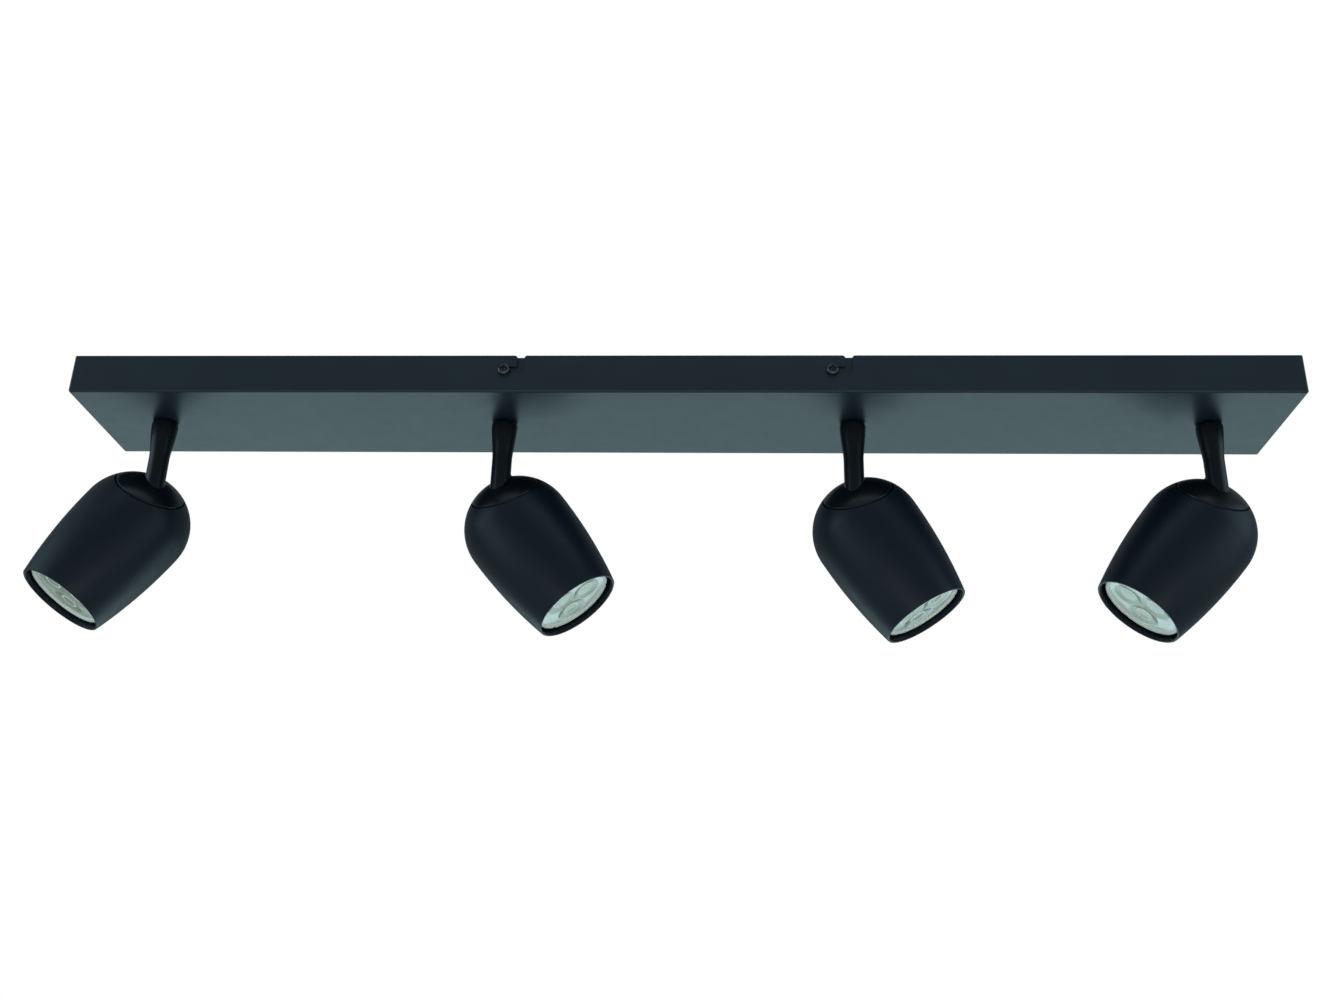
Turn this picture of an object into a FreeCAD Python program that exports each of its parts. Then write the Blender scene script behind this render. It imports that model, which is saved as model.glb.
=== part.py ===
import FreeCAD, Part
import math
import os
import re

import Sketcher
from FreeCAD import Placement, Rotation, Vector

# Four-lamp ceiling spot bar, in millimetres.
# The origin is the centre of the ceiling plane: +X runs along the bar, +Y away from the front, +Z up.
# A folded steel canopy hangs by four screws on a ceiling bracket. Each of its four arms turns about a
# vertical spigot in the canopy. The foot of an arm is a domed cap at 45 degrees, which completes the ball of
# the head below it. The head turns on the cap, so that the lamp swings between straight down and level.
#
# Local frames: an arm has its origin on the canopy's underside at its spigot, and a head has its origin at
# the centre of its ball, with its mouth towards -Z. Both face -Y at zero turn.

SIZES = {
    # canopy, an open tray of folded sheet
    "canopy_length": 750,
    "canopy_width": 88,
    "canopy_height": 25,
    "canopy_sheet": 1,
    "canopy_bend": 1.5,
    "head_pitch": 220,
    # L-shaped slots in the long walls, which drop over the bracket's screws and slide along
    "slot_spacing": 200,
    "slot_travel": 10,
    "slot_width": 4.5,
    "slot_flare": 1.2,
    "screw_drop": 10,
    # ceiling bracket
    "bracket_length": 260,
    "bracket_width": 60,
    "bracket_sheet": 1.5,
    "bracket_drop": 1,
    "bracket_gap": 0.3,
    "tab_width": 24,
    "tab_height": 13,
    "pad_length": 34,
    "pad_width": 18,
    "ceiling_slot_spacing": 160,
    "ceiling_slot_width": 5,
    "ceiling_slot_length": 15,
    "mains_offset": 45,
    "mains_hole": 16,
    "mains_bore": 10,
    "grommet_lip": 0.8,
    # pan-head screws
    "screw_size": 3.9,
    "screw_head": 7.6,
    "screw_head_height": 2.5,
    "screw_length": 8,
    "small_screw": 2.9,
    "small_screw_head": 5.5,
    "small_screw_head_height": 1.8,
    # arm with a threaded spigot at each end
    "spigot_diameter": 10,
    "running_clearance": 0.1,
    "face_gap": 0.1,
    "lead_bore": 6,
    "arm_top_diameter": 16.2,
    "arm_diameter": 12.4,
    "arm_shoulder": 2,
    "arm_taper_start": 4,
    "arm_taper_end": 24,
    "joint_drop": 39.5,
    "joint_angle": 45,
    "pivot_offset": 34.5,
    "cap_diameter": 43.2,
    "cap_skirt": 2.2,
    "cap_edge": 0.4,
    "foot_fillet": 2,
    "washer_diameter": 17,
    "washer_height": 1.2,
    "nut_flats": 14,
    "nut_height": 3.5,
    "thread_end": 1.9,
    # head shell: a half ball that runs into a long drawn-in skirt
    "head_radius": 34.5,
    "skirt_radius": 312,
    "mouth_drop": 65.3,
    "shell_wall": 1.5,
    "groove_offset": 26.3,
    "rim_drop": 0.35,
    "groove_gap": 0.6,
    "plate_height": 2.5,
    "seat_rise": 0.6,
    "lug_length": 8,
    "lug_height": 5,
    # lamp, its pins and its holder
    "lamp_diameter": 50,
    "lamp_length": 45,
    "lamp_recess": 3.9,
    "lamp_rim": 5,
    "lamp_neck": 27,
    "lamp_neck_length": 9,
    "lens_diameter": 45,
    "lens_height": 2,
    "pin_spacing": 10,
    "pin_length": 7.5,
    "pin_head": 4.8,
    "pin_head_length": 3,
    "pin_neck": 3,
    "pin_clearance": 0.2,
    "lock_angle": 25,
    "holder_diameter": 29,
    "holder_height": 15.3,
    "holder_screw_spacing": 20,
    "holder_screw_sink": 3,
    "bridge_width": 12,
    "bridge_sheet": 1.5,
    "bridge_clearance": 1.2,
    # wiring
    "lead_diameter": 1.7,
    "lead_spacing": 2.2,
    "sleeve_diameter": 5,
    "sleeve_length": 16,
    "pole_pitch": 10,
    "block_width": 18,
    "block_height": 16.5,
    "block_wall": 3,
    "entry_diameter": 5.4,
    "entry_height": 12.8,
    "terminal_screw": 3.8,
    "earth_post_diameter": 8,
    "earth_post_height": 4,
}

# turn of each arm about its spigot, and of each head on its arm's cap, as the bar is set out
ARM_TURN = {1: 44, 2: -25, 3: -23, 4: 19}
HEAD_TURN = {1: -44, 2: 54.5, 3: 44, 4: -57}
ARMS = {1: -1.5, 2: -0.5, 3: 0.5, 4: 1.5}

SIZES.update({f"arm_turn_{number}": turn for number, turn in ARM_TURN.items()})
SIZES.update({f"head_turn_{number}": turn for number, turn in HEAD_TURN.items()})
SIZES.update({f"arm_place_{number}": place for number, place in ARMS.items()})

DOC = FreeCAD.newDocument("SpotBar")
SHEET = DOC.addObject("Spreadsheet::Sheet", "Sizes")
NODES = []


# ---------------------------------------------------------------- document helpers

def fill_sheet():
    """Writes each size into the sheet with its own alias."""
    for row, (name, value) in enumerate(SIZES.items(), start=1):
        SHEET.set(f"A{row}", name)
        SHEET.set(f"B{row}", str(value))
        SHEET.setAlias(f"B{row}", name)
    DOC.recompute()


def bound(expression):
    """An expression in size names as FreeCAD writes it, with the sheet's name before each of them."""
    return re.sub(r"[a-z]\w*", lambda word: f"Sizes.{word[0]}" if word[0] in SIZES else word[0], expression)


def size(expression):
    """The value of an expression in size names, in millimetres or degrees."""
    return float(SHEET.evalExpression(bound(expression)))


def node(feature, label, placement=None):
    """Marks a finished object as a sub-part with its own label, and places it by an expression."""
    feature.Label = label
    if placement:
        feature.setExpression("Placement", placement)
    NODES.append(feature)
    return feature


def new_body(name):
    body = DOC.addObject("PartDesign::Body", name)
    body.AllowCompound = True
    return body


def arm_placement(number):
    """Where an arm's frame lies: under the canopy at its spigot, turned about Z."""
    return bound(
        f"create(<<placement>>; create(<<vector>>; head_pitch * arm_place_{number}; 0; -canopy_height);"
        f" create(<<rotation>>; create(<<vector>>; 0; 0; 1); arm_turn_{number}))"
    )


def head_placement(number):
    """Where a head's frame lies: turned with its arm, then on its cap about the cap's own axis."""
    return arm_placement(number) + bound(
        " * create(<<placement>>; create(<<vector>>; 0; pivot_offset * sin(joint_angle);"
        " -joint_drop - pivot_offset * cos(joint_angle)); create(<<rotation>>;"
        f" create(<<vector>>; 0; -sin(joint_angle); cos(joint_angle)); head_turn_{number}))"
    )


# ---------------------------------------------------------------- sketch helpers

def new_sketch(body, plane="XY_Plane", height="0"):
    """A sketch parallel to one of the body's own planes, at a height along the plane's normal."""
    sketch = body.newObject("Sketcher::SketchObject", f"{body.Name}_sketch")
    base = [item for item in body.Origin.OriginFeatures if item.Role == plane][0]
    sketch.AttachmentSupport = [(base, "")]
    sketch.MapMode = "FlatFace"
    sketch.setExpression("AttachmentOffset.Base.z", bound(height))
    return sketch


def joint_sketch(body, along, origin_drop="0"):
    """A sketch square to the 45 degree joint axis, at a distance along it from a point on the Z axis."""
    sketch = new_sketch(body)
    sketch.AttachmentOffset = Placement(Vector(), Rotation(Vector(1, 0, 0), 45))
    sketch.setExpression("AttachmentOffset.Rotation.Angle", bound("joint_angle"))
    sketch.setExpression("AttachmentOffset.Base.y", bound(f"-({along}) * sin(joint_angle)"))
    sketch.setExpression("AttachmentOffset.Base.z", bound(f"({along}) * cos(joint_angle) - ({origin_drop})"))
    return sketch


def bind(sketch, constraint, expression):
    index = sketch.addConstraint(constraint)
    sketch.setExpression(f"Constraints[{index}]", bound(expression))


def pin_point(sketch, edge, end, x, y):
    """Ties one point of an edge to the sheet by its two coordinates."""
    bind(sketch, Sketcher.Constraint("DistanceX", -1, 1, edge, end, size(x)), x)
    bind(sketch, Sketcher.Constraint("DistanceY", -1, 1, edge, end, size(y)), y)


def circle(sketch, radius, x="0", y="0"):
    edge = sketch.addGeometry(Part.Circle(Vector(size(x), size(y), 0), Vector(0, 0, 1), size(radius)))
    pin_point(sketch, edge, 3, x, y)
    bind(sketch, Sketcher.Constraint("Radius", edge, size(radius)), radius)


def arc_edge(start, end, radius, turn):
    """An arc between two points that turns left (+1) or right (-1) on its way."""
    middle = (start + end) / 2
    chord = end - start
    rise = math.sqrt(max(radius ** 2 - (chord.Length / 2) ** 2, 0))
    centre = middle + Vector(-chord.y, chord.x, 0).normalize() * rise * turn
    first, last = (start, end) if turn > 0 else (end, start)
    angles = [math.atan2(point.y - centre.y, point.x - centre.x) for point in (first, last)]
    return Part.ArcOfCircle(Part.Circle(centre, Vector(0, 0, 1), radius), *angles)


def outline(sketch, corners):
    """A closed outline through corners (x, y), or (x, y, radius, turn) where an arc leaves the corner."""
    points = [Vector(size(corner[0]), size(corner[1]), 0) for corner in corners]
    first_edge = sketch.GeometryCount
    ends = []
    for start, end, corner in zip(points, points[1:] + points[:1], corners):
        if len(corner) == 2:
            sketch.addGeometry(Part.LineSegment(start, end))
            ends.append((1, 2))
        else:
            sketch.addGeometry(arc_edge(start, end, size(corner[2]), corner[3]))
            ends.append((1, 2) if corner[3] > 0 else (2, 1))
    for index, corner in enumerate(corners):
        following = (index + 1) % len(corners)
        edge, next_edge = first_edge + index, first_edge + following
        joined = (edge, ends[index][1], next_edge, ends[following][0])
        sketch.addConstraint(Sketcher.Constraint("Coincident", *joined))
        pin_point(sketch, edge, ends[index][0], corner[0], corner[1])
        if len(corner) > 2:
            fix_arc(sketch, edge, corner, corners[following], points[index] - points[following])


def fix_arc(sketch, edge, corner, following, chord):
    """Fixes an arc's bulge: a half circle by its centre, which lies on the chord, or else by its radius."""
    if chord.Length < 2 * size(corner[2]) - 0.001:
        bind(sketch, Sketcher.Constraint("Radius", edge, size(corner[2])), corner[2])
        return
    axis, kind = (0, "DistanceX") if abs(chord.y) > abs(chord.x) else (1, "DistanceY")
    middle = f"(({corner[axis]}) + ({following[axis]})) / 2"
    bind(sketch, Sketcher.Constraint(kind, -1, 1, edge, 3, size(middle)), middle)


def rectangle(sketch, length, width, x="0", y="0"):
    left, right = f"({x}) - ({length}) / 2", f"({x}) + ({length}) / 2"
    near, far = f"({y}) - ({width}) / 2", f"({y}) + ({width}) / 2"
    outline(sketch, [(left, near), (right, near), (right, far), (left, far)])


def stadium(sketch, length, width, x="0", y="0"):
    """A round-ended slot along the sketch's X axis, its length measured over the ends."""
    left, right = f"({x}) - ({length} - {width}) / 2", f"({x}) + ({length} - {width}) / 2"
    near, far, radius = f"({y}) - ({width}) / 2", f"({y}) + ({width}) / 2", f"({width}) / 2"
    outline(sketch, [(left, near), (right, near, radius, 1), (right, far), (left, far, radius, 1)])


# ---------------------------------------------------------------- feature helpers

def pad(body, sketch, length, downwards=False):
    feature = body.newObject("PartDesign::Pad", f"{body.Name}_pad")
    feature.Profile = sketch
    feature.Reversed = downwards
    feature.setExpression("Length", bound(length))
    DOC.recompute()
    return feature


def pocket(body, sketch, depth=None, upwards=False, both=False):
    """Cuts the sketch into the body, to a depth or right through, and makes sure that it did cut."""
    before = body.Shape.Volume
    feature = body.newObject("PartDesign::Pocket", f"{body.Name}_pocket")
    feature.Profile = sketch
    feature.Reversed = upwards
    if both:
        feature.SideType = "Symmetric"
    if depth is None:
        feature.Type = "ThroughAll"
    else:
        feature.setExpression("Length", bound(depth))
    DOC.recompute()
    if feature.Shape.Volume > before - 0.01:
        raise RuntimeError(f"{feature.Name} cuts nothing")
    return feature


def revolve(body, sketch):
    feature = body.newObject("PartDesign::Revolution", f"{body.Name}_revolution")
    feature.Profile = sketch
    feature.ReferenceAxis = (sketch, ["V_Axis"])
    feature.Angle = 360
    DOC.recompute()
    return feature


def fillet(body, chosen, radius):
    """Rounds the edges of the body's last feature for which chosen(edge) holds."""
    base = body.Tip
    names = [f"Edge{index}" for index, edge in enumerate(base.Shape.Edges, start=1) if chosen(edge)]
    if not names:
        raise RuntimeError(f"{body.Name} has no edge to round")
    feature = body.newObject("PartDesign::Fillet", f"{body.Name}_fillet")
    feature.Base = (base, names)
    feature.setExpression("Radius", bound(radius))
    DOC.recompute()
    return feature


def is_round(edge, radius, height=None):
    """Whether an edge is a full circle of this radius, and at this height if one is given."""
    if not (hasattr(edge.Curve, "Radius") and edge.isClosed()):
        return False
    right_height = height is None or abs(edge.Curve.Center.z - height) < 0.01
    return abs(edge.Curve.Radius - radius) < 0.01 and right_height


def group(label, members, placement=None):
    """Separate pieces of one kind that share a node."""
    compound = DOC.addObject("Part::Compound", label)
    compound.Links = members
    return node(compound, label, placement)


def lead_shape(points, bend):
    """One lead: straight runs between the points, joined by arcs of the bend radius."""
    edges = []
    start = points[0]
    for before, corner, after in zip(points, points[1:], points[2:]):
        inward = (before - corner).normalize()
        onward = (after - corner).normalize()
        half_turn = (math.pi - inward.getAngle(onward)) / 2
        reach = bend * math.tan(half_turn)
        arc_start, arc_end = corner + inward * reach, corner + onward * reach
        bisector = (inward + onward).normalize()
        middle = corner + bisector * (bend / math.cos(half_turn) - bend)
        edges.append(Part.LineSegment(start, arc_start).toShape())
        edges.append(Part.Arc(arc_start, middle, arc_end).toShape())
        start = arc_end
    edges.append(Part.LineSegment(start, points[-1]).toShape())
    path = Part.Wire(edges)
    section = Part.Wire(Part.Circle(points[0], points[1] - points[0], size("lead_diameter") / 2).toShape())
    return path.makePipeShell([section], True, True)


def leads(label, routes, bend, placement=None):
    """A node of leads, which are swept along routes that are read from the sheet."""
    feature = DOC.addObject("Part::Feature", label)
    feature.Shape = Part.makeCompound([lead_shape(route, bend) for route in routes])
    return node(feature, label, placement)


# ---------------------------------------------------------------- fasteners

def pan_screw(name, diameter, head, head_height, length):
    """A pan-head screw along Z: its head stands on the XY plane and its shank runs down from it."""
    body = new_body(name)
    profile = new_sketch(body, "XZ_Plane")
    dome = f"({head}) / 4"
    outline(profile, [
        ("0", f"-({length})"), (f"({diameter}) / 2", f"-({length})"), (f"({diameter}) / 2", "0"),
        (f"({head}) / 2", "0"), (f"({head}) / 2", f"({head_height}) * 0.45", dome, 1),
        (f"({head}) / 2 - ({head_height}) * 0.5", head_height), ("0", head_height),
    ])
    revolve(body, profile)
    cross = new_sketch(body, "XY_Plane", head_height)
    arm, half = f"({head}) * 0.3", f"({head}) * 0.07"
    outline(cross, [
        (arm, f"-({half})"), (arm, half), (half, half), (half, arm), (f"-({half})", arm), (f"-({half})", half),
        (f"-({arm})", half), (f"-({arm})", f"-({half})"), (f"-({half})", f"-({half})"),
        (f"-({half})", f"-({arm})"), (half, f"-({arm})"), (half, f"-({half})"),
    ])
    pocket(body, cross, f"({head_height}) * 0.6")
    return body


def placed(feature, x, y, z, axis="0; 0; 1", angle="0"):
    """Places a feature by expressions, turned about one axis, and gives it back."""
    feature.setExpression("Placement", bound(
        f"create(<<placement>>; create(<<vector>>; {x}; {y}; {z});"
        f" create(<<rotation>>; create(<<vector>>; {axis}); {angle}))"
    ))
    return feature


# ---------------------------------------------------------------- canopy and ceiling bracket

def arm_x(number):
    return f"head_pitch * arm_place_{number}"


def slot_centres():
    return ["-slot_spacing / 2", "slot_spacing / 2"]


def slot_outline(sketch, centre):
    """The cut seen from the front: flared mouth at the rim, neck down, then a leg to the left."""
    neck = f"({centre}) + slot_travel / 2"
    screw = f"({centre}) - slot_travel / 2"
    left, right = f"({neck}) - slot_width / 2", f"({neck}) + slot_width / 2"
    top, bottom = "-screw_drop + slot_width / 2", "-screw_drop - slot_width / 2"
    above = "canopy_sheet"
    outline(sketch, [
        (f"({left}) - slot_flare", above), (f"({left}) - slot_flare", "0"), (left, "-bracket_drop"),
        (left, top),
        (screw, top, "slot_width / 2", 1), (screw, bottom), (neck, bottom, "slot_width / 2", 1),
        (right, "-screw_drop"), (right, "-bracket_drop"), (f"({right}) + slot_flare", "0"),
        (f"({right}) + slot_flare", above),
    ])


def make_canopy():
    """Open-topped tray with round folds, the four L-shaped slots and the four spigot holes."""
    body = new_body("canopy")
    floor = new_sketch(body, "XY_Plane", "-canopy_height")
    rectangle(floor, "canopy_length", "canopy_width")
    pad(body, floor, "canopy_height")
    bottom = size("-canopy_height")
    fillet(body, lambda edge: edge.BoundBox.ZMin < bottom + 0.01 or edge.BoundBox.ZLength > 1, "canopy_bend")
    inside = new_sketch(body, "XY_Plane", "0")
    rectangle(inside, "canopy_length - 2 * canopy_sheet", "canopy_width - 2 * canopy_sheet")
    pocket(body, inside, "canopy_height - canopy_sheet")
    slots = new_sketch(body, "XZ_Plane")
    for centre in slot_centres():
        slot_outline(slots, centre)
    pocket(body, slots, both=True)
    holes = new_sketch(body, "XY_Plane", "-canopy_height + canopy_sheet")
    for number in ARMS:
        circle(holes, "spigot_diameter / 2 + running_clearance", arm_x(number))
    pocket(body, holes)
    post = new_sketch(body, "XY_Plane", "-canopy_height + canopy_sheet / 2")
    circle(post, "earth_post_diameter / 2", "0", EARTH_Y)
    pad(body, post, "earth_post_height + canopy_sheet / 2")
    thread = new_sketch(body, "XY_Plane", "-canopy_height + canopy_sheet + earth_post_height")
    circle(thread, "screw_size / 2", "0", EARTH_Y)
    pocket(body, thread, "earth_post_height - canopy_sheet / 2")
    node(body, "canopy")


def make_bracket():
    """Ceiling plate with raised pads round its slots, and four folded tabs behind the canopy's slots."""
    body = new_body("ceiling_bracket")
    plate_top = "-bracket_drop"
    plate = new_sketch(body, "XY_Plane", plate_top)
    rectangle(plate, "bracket_length", "bracket_width")
    pad(body, plate, "bracket_sheet", downwards=True)
    tab_face = "canopy_width / 2 - canopy_sheet - bracket_gap"
    ears = new_sketch(body, "XY_Plane", plate_top)
    tabs = new_sketch(body, "XY_Plane", plate_top)
    for centre in slot_centres():
        rectangle(ears, "tab_width", f"2 * ({tab_face})", centre)
        for side in ("1", "-1"):
            rectangle(tabs, "tab_width", "bracket_sheet", centre, f"{side} * ({tab_face} - bracket_sheet / 2)")
    pad(body, ears, "bracket_sheet", downwards=True)
    pad(body, tabs, "tab_height", downwards=True)
    half_slots = "ceiling_slot_spacing / 2"
    pads = new_sketch(body, "XY_Plane", f"{plate_top} - bracket_sheet / 2")
    for x in ("0", half_slots, f"-{half_slots}"):
        rectangle(pads, "pad_length", "pad_width", x)
    pad(body, pads, "bracket_drop + bracket_sheet / 2")
    ceiling = new_sketch(body, "XY_Plane")
    for x in (half_slots, f"-{half_slots}"):
        stadium(ceiling, "ceiling_slot_length", "ceiling_slot_width", x)
    pocket(body, ceiling)
    mains = new_sketch(body, "XY_Plane")
    circle(mains, "mains_hole / 2", "mains_offset")
    pocket(body, mains)
    threads = new_sketch(body, "XZ_Plane")
    for centre in slot_centres():
        circle(threads, "screw_size / 2", f"{centre} - slot_travel / 2", "-screw_drop")
    pocket(body, threads, both=True)
    node(body, "ceiling_bracket")


def make_canopy_screws():
    """Two screws in each long side, through the slots into the bracket's tabs."""
    screws = []
    for row, centre in enumerate(slot_centres()):
        for side, angle in (("-1", "90"), ("1", "-90")):
            name = f"canopy_screw_{row}_{'front' if side == '-1' else 'back'}"
            screw = pan_screw(name, "screw_size", "screw_head", "screw_head_height", "screw_length")
            place = (f"{centre} - slot_travel / 2", f"{side} * canopy_width / 2", "-screw_drop")
            screws.append(placed(screw, *place, axis="1; 0; 0", angle=angle))
    group("canopy_screws", screws)


def make_grommet():
    """Rubber ring in the bracket's mains hole, with a lip on each face of the plate."""
    body = new_body("mains_grommet")
    profile = new_sketch(body, "XZ_Plane")
    top, bottom = "-bracket_drop + grommet_lip", "-bracket_drop - bracket_sheet - grommet_lip"
    lip, neck, bore = "mains_hole / 2 + 2", "mains_hole / 2", "mains_bore / 2"
    outline(profile, [
        (bore, bottom), (lip, bottom), (lip, f"{bottom} + grommet_lip"), (neck, f"{bottom} + grommet_lip"),
        (neck, "-bracket_drop"), (lip, "-bracket_drop"), (lip, top), (bore, top),
    ])
    revolve(body, profile)
    node(body, "mains_grommet", bound(
        "create(<<placement>>; create(<<vector>>; mains_offset; 0; 0); create(<<rotation>>; 0; 0; 0))"
    ))


# ---------------------------------------------------------------- wiring in the canopy

EARTH_Y = "-canopy_width / 2 + 10"
BLOCK_FRONT = "-1"
BLOCK_FLOOR = "-canopy_height + canopy_sheet"
POLES = {"live": "-pole_pitch", "earth": "0", "neutral": "pole_pitch"}
LANES = {"live": (-20, 1.3), "neutral": (-27, -1.2)}
SLEEVE_STARTS = {"live": 77, "neutral": 54}
LEAD_BEND = 2


def make_terminal_block():
    """Three-pole block on the canopy's floor, with the lamp leads in front and the mains behind."""
    body = new_body("terminal_block")
    base = new_sketch(body, "XY_Plane", BLOCK_FLOOR)
    middle = f"{BLOCK_FRONT} + block_width / 2"
    rectangle(base, "3 * pole_pitch", "block_width", "0", middle)
    pad(body, base, "block_height")
    wells = new_sketch(body, "XY_Plane", f"{BLOCK_FLOOR} + block_height")
    for pole in POLES.values():
        for side in ("-1", "1"):
            circle(wells, "terminal_screw / 2", pole, f"{middle} + {side} * block_width * 0.22")
    pocket(body, wells, "block_height - entry_height + entry_diameter / 2")
    for plane_height, inwards in ((f"-({BLOCK_FRONT})", False), (f"-({BLOCK_FRONT}) - block_width", True)):
        entries = new_sketch(body, "XZ_Plane", plane_height)
        for pole in POLES.values():
            circle(entries, "entry_diameter / 2", pole, f"{BLOCK_FLOOR} + entry_height")
        pocket(body, entries, "block_width / 2 - block_wall / 2", upwards=inwards)
    node(body, "terminal_block")


def make_terminal_screws():
    """Slotted grub screws, one in each well of the block."""
    screws = []
    middle = f"{BLOCK_FRONT} + block_width / 2"
    for pole_name, pole in POLES.items():
        for side in ("-1", "1"):
            body = new_body(f"terminal_screw_{pole_name}_{'front' if side == '-1' else 'back'}")
            shank = new_sketch(body)
            circle(shank, "terminal_screw / 2")
            pad(body, shank, "block_height - entry_height - 0.5", downwards=True)
            slot = new_sketch(body)
            rectangle(slot, "terminal_screw * 1.2", "0.8")
            pocket(body, slot, "0.9")
            place = (pole, f"{middle} + {side} * block_width * 0.22", f"{BLOCK_FLOOR} + block_height - 0.5")
            screws.append(placed(body, *place))
    group("terminal_screws", screws)


def make_earth_screw():
    screw = pan_screw("earth_screw", "screw_size", "screw_head", "screw_head_height", "earth_post_height")
    height = "-canopy_height + canopy_sheet + earth_post_height + 0.8"
    node(placed(screw, "0", EARTH_Y, height), "earth_screw")


def lane_height(core):
    return size(f"{BLOCK_FLOOR} + entry_height") + LANES[core][1]


def side_of(number):
    return -1 if ARMS[number] < 0 else 1


def sleeve_ends(core, side):
    """The outer and the inner end of a splice sleeve along X, on one side of the bar."""
    inner = side * SLEEVE_STARTS[core]
    return inner + side * size("sleeve_length"), inner


def lamp_lead_route(number, core):
    """From the top of a spigot up to the core's own height, forward to its lane and along to its sleeve."""
    offset = size("lead_spacing") / 2 * (-1 if core == "live" else 1)
    x = size(arm_x(number)) + offset
    start = size("-canopy_height + canopy_sheet + washer_height + nut_height + thread_end") + 0.5
    outer_arm = abs(ARMS[number]) > 1
    lane = LANES[core][0] + (-1 if outer_arm else 1)
    height = lane_height(core)
    end = sleeve_ends(core, side_of(number))[0]
    return [Vector(x, 0, start), Vector(x, 0, height), Vector(x, lane, height), Vector(end, lane, height)]


def supply_route(core, side):
    """From a sleeve along its lane, then back into its pole of the terminal block."""
    x = size(POLES[core]) + side * size("lead_spacing") / 2
    lane, height = LANES[core][0], lane_height(core)
    entry = size(BLOCK_FRONT) + 2.5
    start = Vector(sleeve_ends(core, side)[1], lane, height)
    return [start, Vector(x, lane, height), Vector(x, entry, height)]


def make_canopy_wiring():
    """Two white leads from each lamp, spliced on each side into a brown and a blue supply lead."""
    routes = [lamp_lead_route(number, core) for number in ARMS for core in LANES]
    leads("lamp_leads", routes, LEAD_BEND)
    sleeves = []
    for core in LANES:
        for side in (-1, 1):
            sleeve = DOC.addObject("Part::Cylinder", f"sleeve_{core}_{'left' if side < 0 else 'right'}")
            sleeve.setExpression("Radius", bound("sleeve_diameter / 2"))
            sleeve.setExpression("Height", bound("sleeve_length"))
            start = min(sleeve_ends(core, side))
            sleeves.append(placed(sleeve, start, LANES[core][0], lane_height(core), "0; 1; 0", "90"))
    group("splice_sleeves", sleeves)
    leads("supply_brown", [supply_route("live", side) for side in (-1, 1)], LEAD_BEND)
    leads("supply_blue", [supply_route("neutral", side) for side in (-1, 1)], LEAD_BEND)


def make_earth_lead():
    """The green and yellow lead, from the middle pole down to a ring under the earth screw."""
    ring_height = 0.8
    top = size("-canopy_height + canopy_sheet + earth_post_height")
    ring_y = size(EARTH_Y)
    ring_radius = size("earth_post_diameter") / 2 + 0.1
    entry = Vector(0, size(BLOCK_FRONT) + 2.5, size(f"{BLOCK_FLOOR} + entry_height"))
    down = Vector(0, size(BLOCK_FRONT) - 8, entry.z)
    low = Vector(0, down.y, top + ring_height / 2)
    end = Vector(0, ring_y + ring_radius, low.z)
    ring = Part.makeCylinder(ring_radius, ring_height, Vector(0, ring_y, top))
    ring = ring.cut(Part.makeCylinder(size("screw_size") / 2, ring_height, Vector(0, ring_y, top)))
    feature = DOC.addObject("Part::Feature", "supply_earth")
    feature.Shape = Part.makeCompound([lead_shape([entry, down, low, end], LEAD_BEND), ring])
    node(feature, "supply_earth")


# ---------------------------------------------------------------- arms

# CAP_FLOOR is the depth of the cap's flat underside along the joint axis, measured from where the stem's
# axis meets it. CAP_RISE is the height of the dome's edge above the ball's centre.
CAP_FLOOR = "(pivot_offset - groove_offset + cap_skirt)"
CAP_RISE = "sqrt(head_radius^2 - (cap_diameter / 2)^2)"
LOWER_SPIGOT = "(face_gap + plate_height + washer_height + nut_height + thread_end)"


def make_arm(number):
    """Tapered stem with a threaded spigot on top, and below it a slanted domed cap with a second spigot."""
    body = new_body(f"arm_{number}")
    stem = new_sketch(body, "XZ_Plane")
    spigot_top = "canopy_sheet + washer_height + nut_height + thread_end"
    top_radius = "arm_top_diameter / 2"
    foot = "-joint_drop - 2 * arm_diameter"
    outline(stem, [
        ("0", foot), ("arm_diameter / 2", foot), ("arm_diameter / 2", "-arm_taper_end"),
        (top_radius, "-arm_taper_start"), (top_radius, "-face_gap - arm_shoulder", "arm_shoulder", 1),
        (f"{top_radius} - arm_shoulder", "-face_gap"), ("spigot_diameter / 2", "-face_gap"),
        ("spigot_diameter / 2", f"{spigot_top} - 0.5"), ("spigot_diameter / 2 - 0.5", spigot_top),
        ("0", spigot_top),
    ])
    revolve(body, stem)
    below = joint_sketch(body, f"1 - {CAP_FLOOR}", "joint_drop")
    circle(below, "cap_diameter")
    pocket(body, below, "3 * arm_diameter")
    revolve(body, cap_profile(body))
    lower = joint_sketch(body, f"-{CAP_FLOOR}", "joint_drop")
    circle(lower, "spigot_diameter / 2")
    pad(body, lower, LOWER_SPIGOT, downwards=True)
    radius = size("cap_diameter / 2")
    height = size(f"({CAP_RISE} - pivot_offset) * cos(joint_angle) - joint_drop")
    fillet(body, lambda edge: is_round(edge, radius, height), "cap_edge")
    fillet(body, is_foot_edge, "foot_fillet")
    bore = new_sketch(body, "XY_Plane", spigot_top)
    circle(bore, "lead_bore / 2")
    pocket(body, bore, f"{spigot_top} + joint_drop")
    lower_bore = joint_sketch(body, f"-{CAP_FLOOR} - {LOWER_SPIGOT}", "joint_drop")
    circle(lower_bore, "lead_bore / 2")
    pocket(body, lower_bore, f"{CAP_FLOOR} + {LOWER_SPIGOT}", upwards=True)
    node(body, f"arm_{number}", arm_placement(number))


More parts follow.
